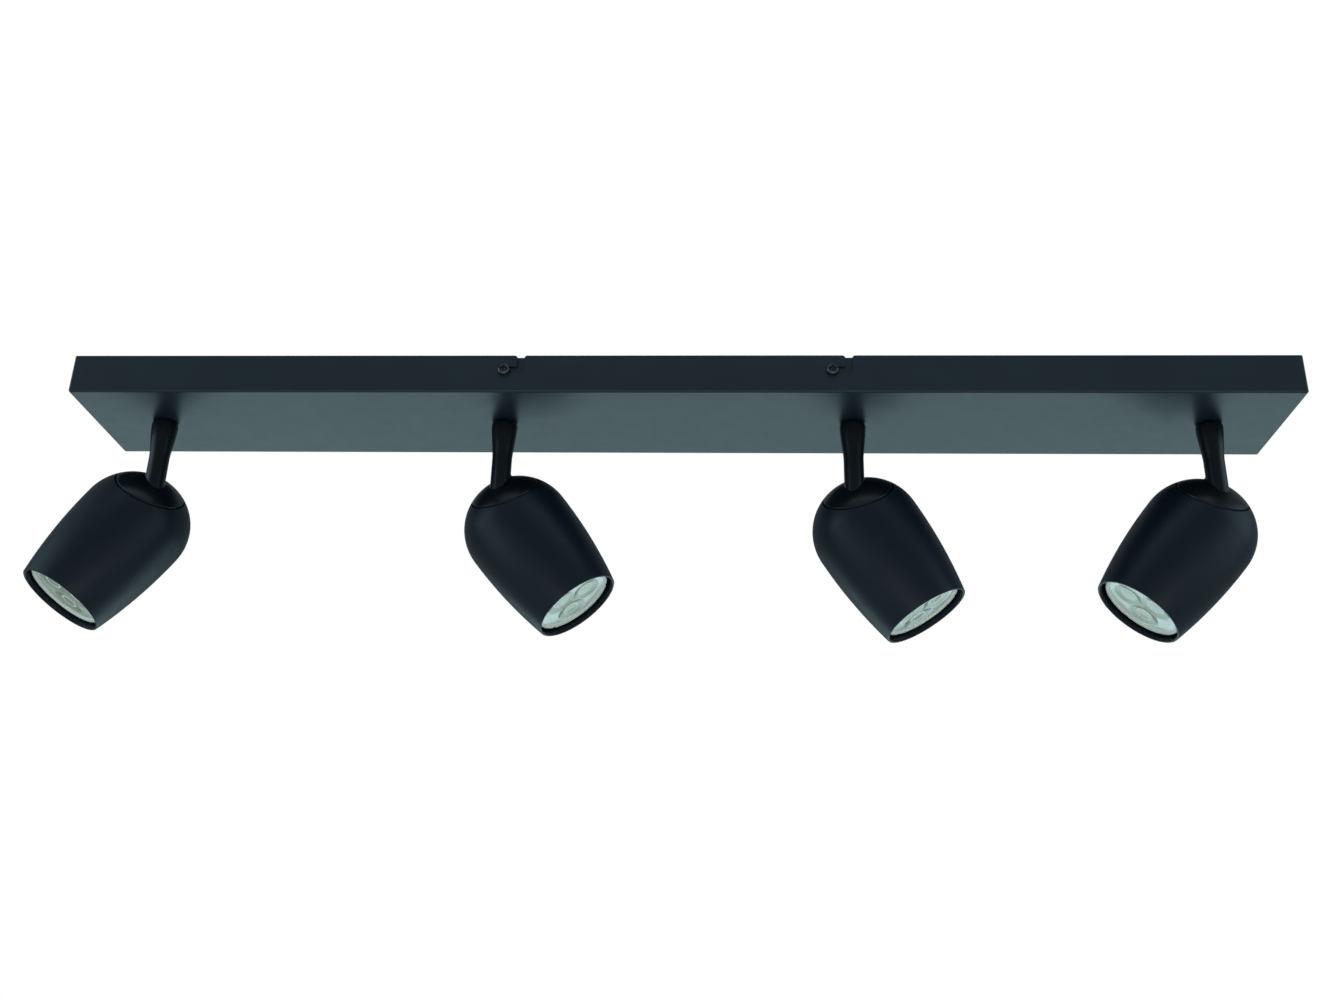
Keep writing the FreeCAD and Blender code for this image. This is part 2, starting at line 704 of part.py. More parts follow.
def cap_profile(body):
    """Half of the cap's section, in a sketch about the ball's centre whose V axis is the joint axis."""
    profile = new_sketch(body, "YZ_Plane")
    profile.AttachmentOffset = Placement(Vector(), Rotation(Vector(0, 0, 1), 45))
    profile.setExpression("AttachmentOffset.Rotation.Angle", bound("joint_angle"))
    profile.setExpression("AttachmentOffset.Base.x", bound("pivot_offset * sin(joint_angle)"))
    profile.setExpression("AttachmentOffset.Base.y", bound("-joint_drop - pivot_offset * cos(joint_angle)"))
    floor, edge = "groove_offset - cap_skirt", "cap_diameter / 2"
    outline(profile, [("0", floor), (edge, floor), (edge, CAP_RISE, "head_radius", 1), ("0", "head_radius")])
    return profile


def is_foot_edge(edge):
    """Whether an edge is part of the saddle curve in which the stem meets the dome."""
    ball_y = size("pivot_offset * sin(joint_angle)")
    ball = Vector(0, ball_y, size("-joint_drop - pivot_offset * cos(joint_angle)"))
    for point in edge.discretize(7):
        on_stem = abs(math.hypot(point.x, point.y) - size("arm_diameter / 2")) < 0.02
        on_dome = abs(point.distanceToPoint(ball) - size("head_radius")) < 0.02
        if not (on_stem and on_dome):
            return False
    return True


def ring_washer(name):
    body = new_body(name)
    face = new_sketch(body)
    circle(face, "washer_diameter / 2")
    circle(face, "spigot_diameter / 2")
    pad(body, face, "washer_height")
    return body


def hexagon_nut(name):
    body = new_body(name)
    face = new_sketch(body)
    corner = "nut_flats / 2 / cos(30)"
    outline(face, [(f"{corner} * cos({turn})", f"{corner} * sin({turn})") for turn in range(0, 360, 60)])
    circle(face, "spigot_diameter / 2")
    pad(body, face, "nut_height")
    return body


def on_joint_axis(feature, depth):
    """Places a ring below the arm's cap, at a depth along the joint axis, in the arm's frame."""
    return placed(
        feature, "0", f"({depth}) * sin(joint_angle)", f"-joint_drop - ({depth}) * cos(joint_angle)",
        "1; 0; 0", "joint_angle",
    )


def make_swivel_rings(number):
    """The friction washer and nut on each of an arm's two spigots."""
    plate_face = f"{CAP_FLOOR} + face_gap + plate_height"
    washers = [
        placed(ring_washer(f"canopy_washer_{number}"), "0", "0", "canopy_sheet"),
        on_joint_axis(ring_washer(f"head_washer_{number}"), f"{plate_face} + washer_height"),
    ]
    group(f"spring_washers_{number}", washers, arm_placement(number))
    nuts = [
        placed(hexagon_nut(f"canopy_nut_{number}"), "0", "0", "canopy_sheet + washer_height"),
        on_joint_axis(hexagon_nut(f"head_nut_{number}"), f"{plate_face} + washer_height + nut_height"),
    ]
    group(f"spigot_nuts_{number}", nuts, arm_placement(number))


def make_arm_leads(number):
    """The pair of leads through the arm's bores, bent where the two bores meet."""
    routes = []
    depth = size(f"{CAP_FLOOR} + {LOWER_SPIGOT}") - 0.5
    angle = math.radians(size("joint_angle"))
    for side in (-1, 1):
        x = side * size("lead_spacing") / 2
        top = Vector(x, 0, size("canopy_sheet + washer_height + nut_height + thread_end") - 0.5)
        corner = Vector(x, 0, -size("joint_drop"))
        end = corner + Vector(0, math.sin(angle), -math.cos(angle)) * depth
        routes.append([top, corner, end])
    leads(f"arm_leads_{number}", routes, 4 * LEAD_BEND, arm_placement(number))


# ---------------------------------------------------------------- heads

def skirt_x(inset, drop):
    """Radius of the skirt at a depth below the ball's centre, inset by a wall."""
    return f"(head_radius - skirt_radius + sqrt((skirt_radius - ({inset}))^2 - ({drop})^2))"


LAMP_FACE = "(mouth_drop - lamp_recess)"
LAMP_BASE = "(mouth_drop - lamp_recess - lamp_length)"
HOLDER_TOP = f"(holder_height - {LAMP_BASE})"
BRIDGE_TOP = f"({HOLDER_TOP} + bridge_sheet)"
LUG_X = "(head_radius - shell_wall - bridge_clearance - lug_length / 2)"
PLATE_TOP = "(groove_offset - cap_skirt - face_gap)"


def make_shell(number):
    """Thin ball and skirt, cut off at 45 degrees above a plate that carries the joint.

    The plate's rim rises into the wall and its two lugs reach into it, so that each joins the shell solidly.
    """
    body = new_body(f"head_shell_{number}")
    profile = new_sketch(body, "XZ_Plane")
    outline(profile, [
        ("head_radius", "0", "head_radius", 1), ("0", "head_radius"),
        ("0", "head_radius - shell_wall", "head_radius - shell_wall", -1),
        ("head_radius - shell_wall", "0", "skirt_radius - shell_wall", -1),
        (skirt_x("shell_wall", "mouth_drop"), "-mouth_drop"),
        (skirt_x("0", "mouth_drop"), "-mouth_drop", "skirt_radius", 1),
    ])
    revolve(body, profile)
    cut = joint_sketch(body, "groove_offset - rim_drop")
    circle(cut, "head_radius * 1.2")
    pocket(body, cut, upwards=True)
    plate = joint_sketch(body, f"{PLATE_TOP} + seat_rise")
    circle(plate, f"sqrt((head_radius - shell_wall / 2)^2 - {PLATE_TOP}^2)")
    pad(body, plate, "plate_height + seat_rise", downwards=True)
    recess = joint_sketch(body, PLATE_TOP)
    circle(recess, "cap_diameter / 2 + groove_gap")
    pocket(body, recess, upwards=True)
    hole = joint_sketch(body, PLATE_TOP)
    circle(hole, "spigot_diameter / 2 + running_clearance")
    pocket(body, hole, "2 * plate_height")
    lugs = new_sketch(body, "XY_Plane", BRIDGE_TOP)
    for side in ("1", "-1"):
        middle = f"{side} * ({LUG_X} + bridge_clearance + shell_wall / 6)"
        rectangle(lugs, "lug_length + shell_wall / 3", "lug_length", middle)
    pad(body, lugs, "lug_height")
    holes = new_sketch(body, "XY_Plane", BRIDGE_TOP)
    for side in ("1", "-1"):
        circle(holes, "small_screw / 2", f"{side} * {LUG_X}")
    pocket(body, holes, "lug_height", upwards=True)
    mouth = size("-mouth_drop")
    fillet(body, lambda edge: edge.BoundBox.ZMax < mouth + 0.01, "shell_wall * 0.3")
    node(body, f"head_shell_{number}", head_placement(number))


def make_bridge(number):
    """Steel strip across the shell, under its two lugs, which carries the lampholder."""
    body = new_body(f"holder_bridge_{number}")
    strip = new_sketch(body, "XY_Plane", HOLDER_TOP)
    rectangle(strip, "2 * (head_radius - shell_wall - bridge_clearance) - 2", "bridge_width")
    pad(body, strip, "bridge_sheet")
    holes = new_sketch(body, "XY_Plane", HOLDER_TOP)
    circle(holes, "bridge_width * 0.38")
    for side in ("1", "-1"):
        circle(holes, "small_screw / 2", f"{side} * {LUG_X}")
        circle(holes, "small_screw / 2", f"{side} * holder_screw_spacing / 2")
    pocket(body, holes, upwards=True)
    node(body, f"holder_bridge_{number}", head_placement(number))


def kidney(sketch, centre_angle):
    """A curved slot round the axis, in which a lamp pin travels when the lamp is turned."""
    ring, half = "pin_spacing / 2", "(pin_head / 2 + pin_clearance)"
    start, end = f"({centre_angle})", f"({centre_angle} + lock_angle)"
    inner, outer = f"({ring} - {half})", f"({ring} + {half})"
    outline(sketch, [
        (f"{outer} * cos{start}", f"{outer} * sin{start}", outer, 1),
        (f"{outer} * cos{end}", f"{outer} * sin{end}", half, 1),
        (f"{inner} * cos{end}", f"{inner} * sin{end}", inner, -1),
        (f"{inner} * cos{start}", f"{inner} * sin{start}", half, 1),
    ])


def make_lampholder(number):
    """Ceramic block with two curved pin slots below and sunk holes for its screws."""
    body = new_body(f"lampholder_{number}")
    base = new_sketch(body, "XY_Plane", f"-{LAMP_BASE}")
    circle(base, "holder_diameter / 2")
    pad(body, base, "holder_height")
    slots = new_sketch(body, "XY_Plane", f"-{LAMP_BASE}")
    kidney(slots, "90")
    kidney(slots, "270")
    pocket(body, slots, "pin_length + 1", upwards=True)
    sinks = new_sketch(body, "XY_Plane", f"-{LAMP_BASE}")
    shanks = new_sketch(body, "XY_Plane", f"-{LAMP_BASE}")
    for side in ("1", "-1"):
        circle(sinks, "small_screw_head / 2 + 0.2", f"{side} * holder_screw_spacing / 2")
        circle(shanks, "small_screw / 2", f"{side} * holder_screw_spacing / 2")
    pocket(body, sinks, "holder_screw_sink", upwards=True)
    pocket(body, shanks, upwards=True)
    node(body, f"lampholder_{number}", head_placement(number))


def make_holder_screws(number):
    """Two screws up through the holder into the bridge, and two through the bridge into the lugs."""
    screws = []
    head = ("small_screw", "small_screw_head", "small_screw_head_height")
    through_holder = "holder_height - holder_screw_sink + bridge_sheet"
    for side, word in (("1", "right"), ("-1", "left")):
        long_screw = pan_screw(f"holder_screw_{number}_{word}", *head, through_holder)
        height = f"-{LAMP_BASE} + holder_screw_sink"
        screws.append(placed(long_screw, f"{side} * holder_screw_spacing / 2", "0", height, "1; 0; 0", "180"))
        short_screw = pan_screw(f"bridge_screw_{number}_{word}", *head, "bridge_sheet + lug_height - 0.5")
        screws.append(placed(short_screw, f"{side} * {LUG_X}", "0", HOLDER_TOP, "1; 0; 0", "180"))
    group(f"holder_screws_{number}", screws, head_placement(number))


def make_holder_leads(number):
    """The pair of leads from the joint's spigot down through the bridge to the holder."""
    angle = math.radians(size("joint_angle"))
    spigot_end = size(f"groove_offset - cap_skirt - {LOWER_SPIGOT}") - 0.5
    routes = []
    for side in (-1, 1):
        x = side * size("lead_spacing") / 2
        start = Vector(x, -math.sin(angle) * spigot_end, math.cos(angle) * spigot_end)
        into_bridge = -size("bridge_width") * 0.38 + size("lead_diameter")
        corner = Vector(x, into_bridge, start.z - (into_bridge - start.y) / math.tan(angle))
        routes.append([start, corner, Vector(x, into_bridge, size(HOLDER_TOP))])
    leads(f"holder_leads_{number}", routes, 1.5 * LEAD_BEND, head_placement(number))


def make_lamp(number):
    """Reflector lamp with its bevelled cup, the lens set in its face and its two turn-and-lock pins."""
    body = new_body(f"lamp_body_{number}")
    cup = new_sketch(body, "XZ_Plane")
    face, base = f"-{LAMP_FACE}", f"-{LAMP_BASE}"
    outline(cup, [
        ("0", f"{face} + lens_height"), ("lens_diameter / 2", f"{face} + lens_height"),
        ("lens_diameter / 2", face), ("lamp_diameter / 2 - 1", face), ("lamp_diameter / 2", f"{face} + 1"),
        ("lamp_diameter / 2", f"{face} + lamp_rim"), ("lamp_neck / 2", f"{base} - lamp_neck_length"),
        ("lamp_neck / 2", base), ("0", base),
    ])
    revolve(body, cup)
    node(body, f"lamp_body_{number}", head_placement(number))
    lens = new_body(f"lamp_lens_{number}")
    disc = new_sketch(lens, "XY_Plane", face)
    circle(disc, "lens_diameter / 2")
    pad(lens, disc, "lens_height")
    node(lens, f"lamp_lens_{number}", head_placement(number))
    pins = new_body(f"lamp_pins_{number}")
    necks = new_sketch(pins, "XY_Plane", base)
    heads = new_sketch(pins, "XY_Plane", f"{base} + pin_length - pin_head_length")
    for side in ("1", "-1"):
        circle(necks, "pin_neck / 2", "0", f"{side} * pin_spacing / 2")
        circle(heads, "pin_head / 2", "0", f"{side} * pin_spacing / 2")
    pad(pins, necks, "pin_length")
    pad(pins, heads, "pin_head_length")
    node(pins, f"lamp_pins_{number}", head_placement(number))


# ---------------------------------------------------------------- the whole bar

def build():
    fill_sheet()
    make_canopy()
    make_bracket()
    make_canopy_screws()
    make_grommet()
    make_terminal_block()
    make_terminal_screws()
    make_earth_screw()
    make_canopy_wiring()
    make_earth_lead()
    for number in ARMS:
        make_arm(number)
        make_swivel_rings(number)
        make_arm_leads(number)
        make_shell(number)
        make_bridge(number)
        make_lampholder(number)
        make_holder_screws(number)
        make_holder_leads(number)
        make_lamp(number)
    DOC.recompute()


def check():
    """Stops if any object failed or any sub-part has no sound shape."""
    for item in DOC.Objects:
        if {"Invalid", "Error"} & set(item.State):
            raise RuntimeError(f"{item.Name} failed: {item.State}")
    for feature in NODES:
        if feature.Shape.isNull() or not feature.Shape.isValid() or not feature.Shape.Solids:
            raise RuntimeError(f"{feature.Label} has no valid shape")


def export():
    os.makedirs("parts", exist_ok=True)
    for feature in NODES:
        feature.Shape.exportStep(f"parts/{feature.Label}.step")


build()
check()
export()
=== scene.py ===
import logging
import math
from dataclasses import dataclass
from enum import Enum
from typing import Any, Sequence

import bmesh
import bpy
from mathutils import Matrix, Vector


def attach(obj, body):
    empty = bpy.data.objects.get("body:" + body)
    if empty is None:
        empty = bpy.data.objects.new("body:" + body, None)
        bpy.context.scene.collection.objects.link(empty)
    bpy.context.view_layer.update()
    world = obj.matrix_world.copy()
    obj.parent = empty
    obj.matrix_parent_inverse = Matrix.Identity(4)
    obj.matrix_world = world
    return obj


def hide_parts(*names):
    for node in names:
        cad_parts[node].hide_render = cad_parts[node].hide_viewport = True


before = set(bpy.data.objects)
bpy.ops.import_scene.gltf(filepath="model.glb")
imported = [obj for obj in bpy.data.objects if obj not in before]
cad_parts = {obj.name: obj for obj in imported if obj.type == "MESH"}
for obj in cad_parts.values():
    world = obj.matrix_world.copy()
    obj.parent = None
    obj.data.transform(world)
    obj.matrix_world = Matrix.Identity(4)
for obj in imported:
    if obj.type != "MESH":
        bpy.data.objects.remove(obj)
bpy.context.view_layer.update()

LOG = logging.getLogger("spot_bar")
MM = 0.001
SLANT = math.radians(45)
WAVE_TURN = 6.283
CREASE = 32
JOINT_AXIS = Vector((0, -math.sin(SLANT), math.cos(SLANT)))
JOINT_ACROSS = Vector((1, 0, 0))
JOINT_UP = Vector((0, math.cos(SLANT), math.sin(SLANT)))
Socket = bpy.types.NodeSocket
Ring = list[Vector]


# ---------------------------------------------------------------- node and colour helpers

def linear(shade: str) -> tuple[float, float, float, float]:
    """Turns an sRGB hex value into the linear colour that a shader socket takes.

    Args:
        shade: the colour as "#RRGGBB".

    Returns:
        Linear red, green and blue, and a full alpha.
    """
    channels = [int(shade[start:start + 2], 16) / 255 for start in (1, 3, 5)]
    curved = [c / 12.92 if c <= 0.04045 else ((c + 0.055) / 1.055) ** 2.4 for c in channels]
    return curved[0], curved[1], curved[2], 1.0


def add_node(
    tree: bpy.types.NodeTree,
    kind: str,
    settings: dict[str | int, Any] | None = None,
    links: dict[str | int, Socket] | None = None,
) -> bpy.types.Node:
    """Adds one shader node with its settings and the links into it.

    Args:
        tree: the node tree to add to.
        kind: the node's type.
        settings: values by the name or number of an input, or by the name of a property.
        links: output sockets by the name or number of the input each of them feeds.

    Returns:
        The new node.
    """
    made = tree.nodes.new(kind)
    for key, value in (settings or {}).items():
        if isinstance(key, int) or key in made.inputs:
            made.inputs[key].default_value = value
        else:
            setattr(made, key, value)
    for key, source in (links or {}).items():
        tree.links.new(source, made.inputs[key])
    return made


def per_mm(size: float) -> float:
    """Gives the texture scale at which one feature of a pattern is this many millimetres wide."""
    return 1 / (size * MM)


@dataclass
class Surface:
    """A new material with its shader, ready for the nodes that colour and roughen it."""

    name: str
    shader: dict[str | int, Any]

    def __post_init__(self) -> None:
        """Makes the material, its shader with constant settings and its coordinates."""
        self.material = bpy.data.materials.new(self.name)
        self.material.use_nodes = True
        self.tree = self.material.node_tree
        self.tree.nodes.clear()
        self.coat = add_node(self.tree, "ShaderNodeBsdfPrincipled", self.shader)
        add_node(self.tree, "ShaderNodeOutputMaterial", links={"Surface": self.coat.outputs["BSDF"]})
        self.place = add_node(self.tree, "ShaderNodeTexCoord").outputs["Object"]

    def noise(self, size: float, detail: float = 2.0, place: Socket | None = None) -> Socket:
        """Adds a noise whose blotches are about so many millimetres wide.

        Args:
            size: width of a blotch in millimetres.
            detail: how many finer layers it has.
            place: coordinates, if they aren't the object's own.

        Returns:
            The noise value, from 0 to 1.
        """
        made = add_node(
            self.tree, "ShaderNodeTexNoise", {"Scale": per_mm(size), "Detail": detail},
            {"Vector": place or self.place},
        )
        return made.outputs["Fac"]

    def stretched(self, factors: tuple[float, float, float]) -> Socket:
        """Gives the object's coordinates multiplied along each axis, for a pattern that runs one way."""
        made = add_node(
            self.tree, "ShaderNodeMapping", {"Scale": factors}, {"Vector": self.place}
        )
        return made.outputs["Vector"]

    def between(self, value: Socket, low: float, high: float) -> Socket:
        """Spreads a value's middle range over the two limits.

        Args:
            value: a value from 0 to 1, mostly from 0.3 to 0.7.
            low: what 0.3 becomes.
            high: what 0.7 becomes.

        Returns:
            The spread value.
        """
        made = add_node(
            self.tree, "ShaderNodeMapRange",
            {"From Min": 0.3, "From Max": 0.7, "To Min": low, "To Max": high}, {"Value": value},
        )
        return made.outputs["Result"]

    def blend(self, value: Socket, first: str, second: str) -> Socket:
        """Mixes two sRGB shades by a value.

        Args:
            value: 0 for the first shade, 1 for the second.
            first: the first shade.
            second: the second shade.

        Returns:
            The mixed colour.
        """
        made = add_node(
            self.tree, "ShaderNodeMix",
            {"data_type": "RGBA", 6: linear(first), 7: linear(second)}, {0: value},
        )
        return made.outputs[2]

    def cover(self, colour: Socket, mask: Socket, shade: str) -> Socket:
        """Lays an sRGB shade over a colour.

        Args:
            colour: the colour below.
            mask: 1 where the shade covers it, 0 where it doesn't.
            shade: the shade on top.

        Returns:
            The mixed colour.
        """
        made = add_node(
            self.tree, "ShaderNodeMix", {"data_type": "RGBA", 7: linear(shade)}, {0: mask, 6: colour}
        )
        return made.outputs[2]

    def paint(self, colour: Socket) -> None:
        """Feeds the shader's base colour."""
        self.tree.links.new(colour, self.coat.inputs["Base Color"])

    def roughen(self, value: Socket) -> None:
        """Feeds the shader's roughness."""
        self.tree.links.new(value, self.coat.inputs["Roughness"])

    def emboss(self, height: Socket, depth: float, strength: float = 1.0) -> None:
        """Raises the surface by a height map.

        Args:
            height: the height, from 0 to 1.
            depth: full height in millimetres.
            strength: share of the effect.
        """
        made = add_node(
            self.tree, "ShaderNodeBump", {"Distance": depth * MM, "Strength": strength}, {"Height": height}
        )
        self.tree.links.new(made.outputs["Normal"], self.coat.inputs["Normal"])


# ---------------------------------------------------------------- finishes

@dataclass(frozen=True)
class PowderCoat:
    """Satin black polyester powder, sprayed on degreased steel and baked.

    The baked film flows into a faint orange peel about a millimetre across, which breaks highlights up a
    little, and its gloss drifts slowly over the piece. It mirrors only at grazing angles.
    """

    name: str = "powder_coat_satin_black"
    shade: str = "#171C20"
    drift: str = "#1D2428"
    gloss: tuple[float, float] = (0.34, 0.42)
    mirror: float = 0.5
    peel: float = 1.1
    peel_height: float = 0.006

    def make(self) -> bpy.types.Material:
        """Builds the coat's material."""
        surface = Surface(self.name, {"IOR": 1.5, "Metallic": 0.0, "Specular IOR Level": self.mirror})
        slow = surface.noise(38, 1)
        surface.paint(surface.blend(slow, self.shade, self.drift))
        surface.roughen(surface.between(surface.noise(9, 3), *self.gloss))
        surface.emboss(surface.noise(self.peel, 1), self.peel_height, 0.6)
        return surface.material


@dataclass(frozen=True)
class ZincPlate:
    """Blue passivated zinc on pressed or turned steel: cool and bright, with cloudy gloss and fine grain."""

    name: str = "zinc_plated_steel"
    shade: str = "#C9CDCF"
    drift: str = "#AEB4B8"
    gloss: tuple[float, float] = (0.24, 0.38)
    grain: float = 0.7

    def make(self) -> bpy.types.Material:
        """Builds the plate's material. The rolling grain is drawn coarser than it is, so that it shows."""
        surface = Surface(self.name, {"Metallic": 1.0})
        surface.paint(surface.blend(surface.noise(14, 3), self.shade, self.drift))
        surface.roughen(surface.between(surface.noise(6, 3), *self.gloss))
        grain = surface.noise(self.grain, 3, surface.stretched((0.08, 1.0, 1.0)))
        surface.emboss(grain, 0.004, 0.5)
        return surface.material


@dataclass(frozen=True)
class BlackNickel:
    """Black nickel plate on turned steel screws: a dark mirror with a warm cast and handling marks."""

    name: str = "black_nickel_plate"
    shade: str = "#5A5A5C"
    drift: str = "#454447"

    def make(self) -> bpy.types.Material:
        """Builds the plate's material."""
        surface = Surface(self.name, {"Metallic": 1.0})
        surface.paint(surface.blend(surface.noise(2.5, 2), self.shade, self.drift))
        surface.roughen(surface.between(surface.noise(1.2, 3), 0.2, 0.34))
        surface.emboss(surface.noise(0.3, 2), 0.002, 0.4)
        return surface.material


@dataclass(frozen=True)
class MouldedPlastic:
    """Injection moulded plastic with the fine spark-eroded texture of its mould and slightly uneven gloss."""

    name: str
    shade: str
    drift: str
    gloss: tuple[float, float] = (0.42, 0.55)
    texture: float = 0.35
    depth: float = 0.01
    ior: float = 1.53
    softness: float = 0.0

    def make(self) -> bpy.types.Material:
        """Builds the plastic's material."""
        surface = Surface(self.name, {
            "IOR": self.ior, "Subsurface Weight": self.softness, "Subsurface Scale": 0.0015,
        })
        surface.paint(surface.blend(surface.noise(11, 2), self.shade, self.drift))
        surface.roughen(surface.between(surface.noise(5, 3), *self.gloss))
        surface.emboss(surface.noise(self.texture, 2), self.depth, 0.5)
        return surface.material


@dataclass(frozen=True)
class Insulation:
    """Extruded insulation of a thin lead: glossy and faintly uneven, with a stripe if it is an earth."""

    name: str
    shade: str
    drift: str
    stripe: str | None = None
    stripe_size: float = 7.5
    stripe_edge: float = 0.72

    def make(self) -> bpy.types.Material:
        """Builds the insulation's material. The stripe crosses the lead in slanting bands."""
        surface = Surface(self.name, {"IOR": 1.52})
        colour = surface.blend(surface.noise(6, 2), self.shade, self.drift)
        if self.stripe:
            wave = add_node(
                surface.tree, "ShaderNodeTexWave",
                {
                    "Scale": per_mm(self.stripe_size) / WAVE_TURN, "Distortion": 0.6,
                    "bands_direction": "DIAGONAL",
                },
                {"Vector": surface.place},
            )
            band = add_node(
                surface.tree, "ShaderNodeMath", {"operation": "GREATER_THAN", 1: self.stripe_edge},
                {0: wave.outputs["Fac"]},
            )
            colour = surface.cover(colour, band.outputs["Value"], self.stripe)
        surface.paint(colour)
        surface.roughen(surface.between(surface.noise(3, 2), 0.26, 0.38))
        surface.emboss(surface.noise(0.5, 1), 0.008, 0.5)
        return surface.material


@dataclass(frozen=True)
class Steatite:
    """Pressed and fired steatite, unglazed: cream with fine dark specks and a dry, slightly grainy skin."""

    name: str = "fired_steatite"
    shade: str = "#E4DCCB"
    drift: str = "#D6CCB8"
    speck: str = "#9A8E78"
    speck_spacing: float = 1.6
    speck_reach: float = 0.13

    def make(self) -> bpy.types.Material:
        """Builds the ceramic's material."""
        surface = Surface(self.name, {"IOR": 1.6})
        body = surface.blend(surface.noise(8, 3), self.shade, self.drift)
        cells = add_node(
            surface.tree, "ShaderNodeTexVoronoi", {"Scale": per_mm(self.speck_spacing)},
            {"Vector": surface.place},
        )
        specks = add_node(
            surface.tree, "ShaderNodeMath", {"operation": "LESS_THAN", 1: self.speck_reach},
            {0: cells.outputs["Distance"]},
        )
        surface.paint(surface.cover(body, specks.outputs["Value"], self.speck))
        surface.roughen(surface.between(surface.noise(3, 3), 0.6, 0.78))
        surface.emboss(surface.noise(0.6, 3), 0.03, 0.6)
        return surface.material


@dataclass(frozen=True)
class NickelBrass:
    """Nickelled brass pins: a warm bright metal, turned, with fine rings."""

    name: str = "nickelled_brass"
    shade: str = "#CFC6AE"
    drift: str = "#BDB08F"
    ring_size: float = 0.5

    def make(self) -> bpy.types.Material:
        """Builds the metal's material."""
        surface = Surface(self.name, {"Metallic": 1.0})
        surface.paint(surface.blend(surface.noise(3, 2), self.shade, self.drift))
        surface.roughen(surface.between(surface.noise(1.5, 2), 0.2, 0.32))
        rings = add_node(
            surface.tree, "ShaderNodeTexWave",
            {"Scale": per_mm(self.ring_size) / WAVE_TURN, "bands_direction": "Z"},
            {"Vector": surface.place},
        )
        surface.emboss(rings.outputs["Fac"], 0.01, 0.4)
        return surface.material


@dataclass(frozen=True)
class LensPolycarbonate:
    """Clear moulded polycarbonate over pale reflector cups.

    The lens has three round cells. Looking in, each cell is a grey-green ring round a paler middle, and the
    ribs between the cells carry a near-white painted highlight where they catch the light. The flange outside
    the cells is frosted and looks almost white.
    """

    name: str = "lens_polycarbonate"
    plan: str = "lens_plan"
    cup: str = "#BDC0A6"
    middle: str = "#D0D2B8"
    # near-white painted highlight on the ribs between the cells, standing in for the light they catch
    rib_highlight: str = "#F2F1DF"
    flange: str = "#FFFDEE"
    flange_radius: float = 19.2
    flange_blur: float = 0.7
    cell_offset: float = 10.4
    cell_radius: float = 10.2

    def make(self) -> bpy.types.Material:
        """Builds the lens's material from the distance to the nearest cell's middle."""
        surface = Surface(self.name, {
            "IOR": 1.586, "Coat Weight": 0.4, "Coat Roughness": 0.08,
        })
        plan = add_node(surface.tree, "ShaderNodeUVMap", {"uv_map": self.plan}).outputs["UV"]
        nearest: Socket | None = None
        for turn in LENS_CELLS:
            centre = (self.cell_offset * MM * math.cos(turn), self.cell_offset * MM * math.sin(turn), 0)
            away = add_node(
                surface.tree, "ShaderNodeVectorMath", {"operation": "DISTANCE", 1: centre}, {0: plan}
            ).outputs["Value"]
            if nearest is None:
                nearest = away
            else:
                nearest = add_node(
                    surface.tree, "ShaderNodeMath", {"operation": "MINIMUM"}, {0: nearest, 1: away}
                ).outputs["Value"]
        ripple = add_node(
            surface.tree, "ShaderNodeMapRange",
            {"From Min": 0.0, "From Max": 1.25 * self.cell_radius * MM, "To Min": 0.0, "To Max": 1.0},
            {"Value": nearest},
        )
        ramp = add_node(surface.tree, "ShaderNodeValToRGB", links={"Fac": ripple.outputs["Result"]})
        # the last stop paints the highlight on the ribs between the cells
        stops = [(0.0, self.middle), (0.28, self.middle), (0.42, self.cup), (0.7, self.cup), (0.86, self.rib_highlight)]
        while len(ramp.color_ramp.elements) < len(stops):
            ramp.color_ramp.elements.new(0.5)
        for element, (position, shade) in zip(ramp.color_ramp.elements, stops):
            element.position = position
            element.color = linear(shade)
        reach = add_node(surface.tree, "ShaderNodeVectorMath", {"operation": "LENGTH"}, {0: plan})
        frosted = add_node(
            surface.tree, "ShaderNodeMapRange",
            {"From Min": self.flange_radius * MM, "From Max": (self.flange_radius + self.flange_blur) * MM},
            {"Value": reach.outputs["Value"]},
        )
        surface.paint(surface.cover(ramp.outputs["Color"], frosted.outputs["Result"], self.flange))
        surface.roughen(surface.between(surface.noise(4, 2), 0.2, 0.28))
        surface.emboss(surface.noise(2.4, 1), 0.006, 0.2)
        return surface.material


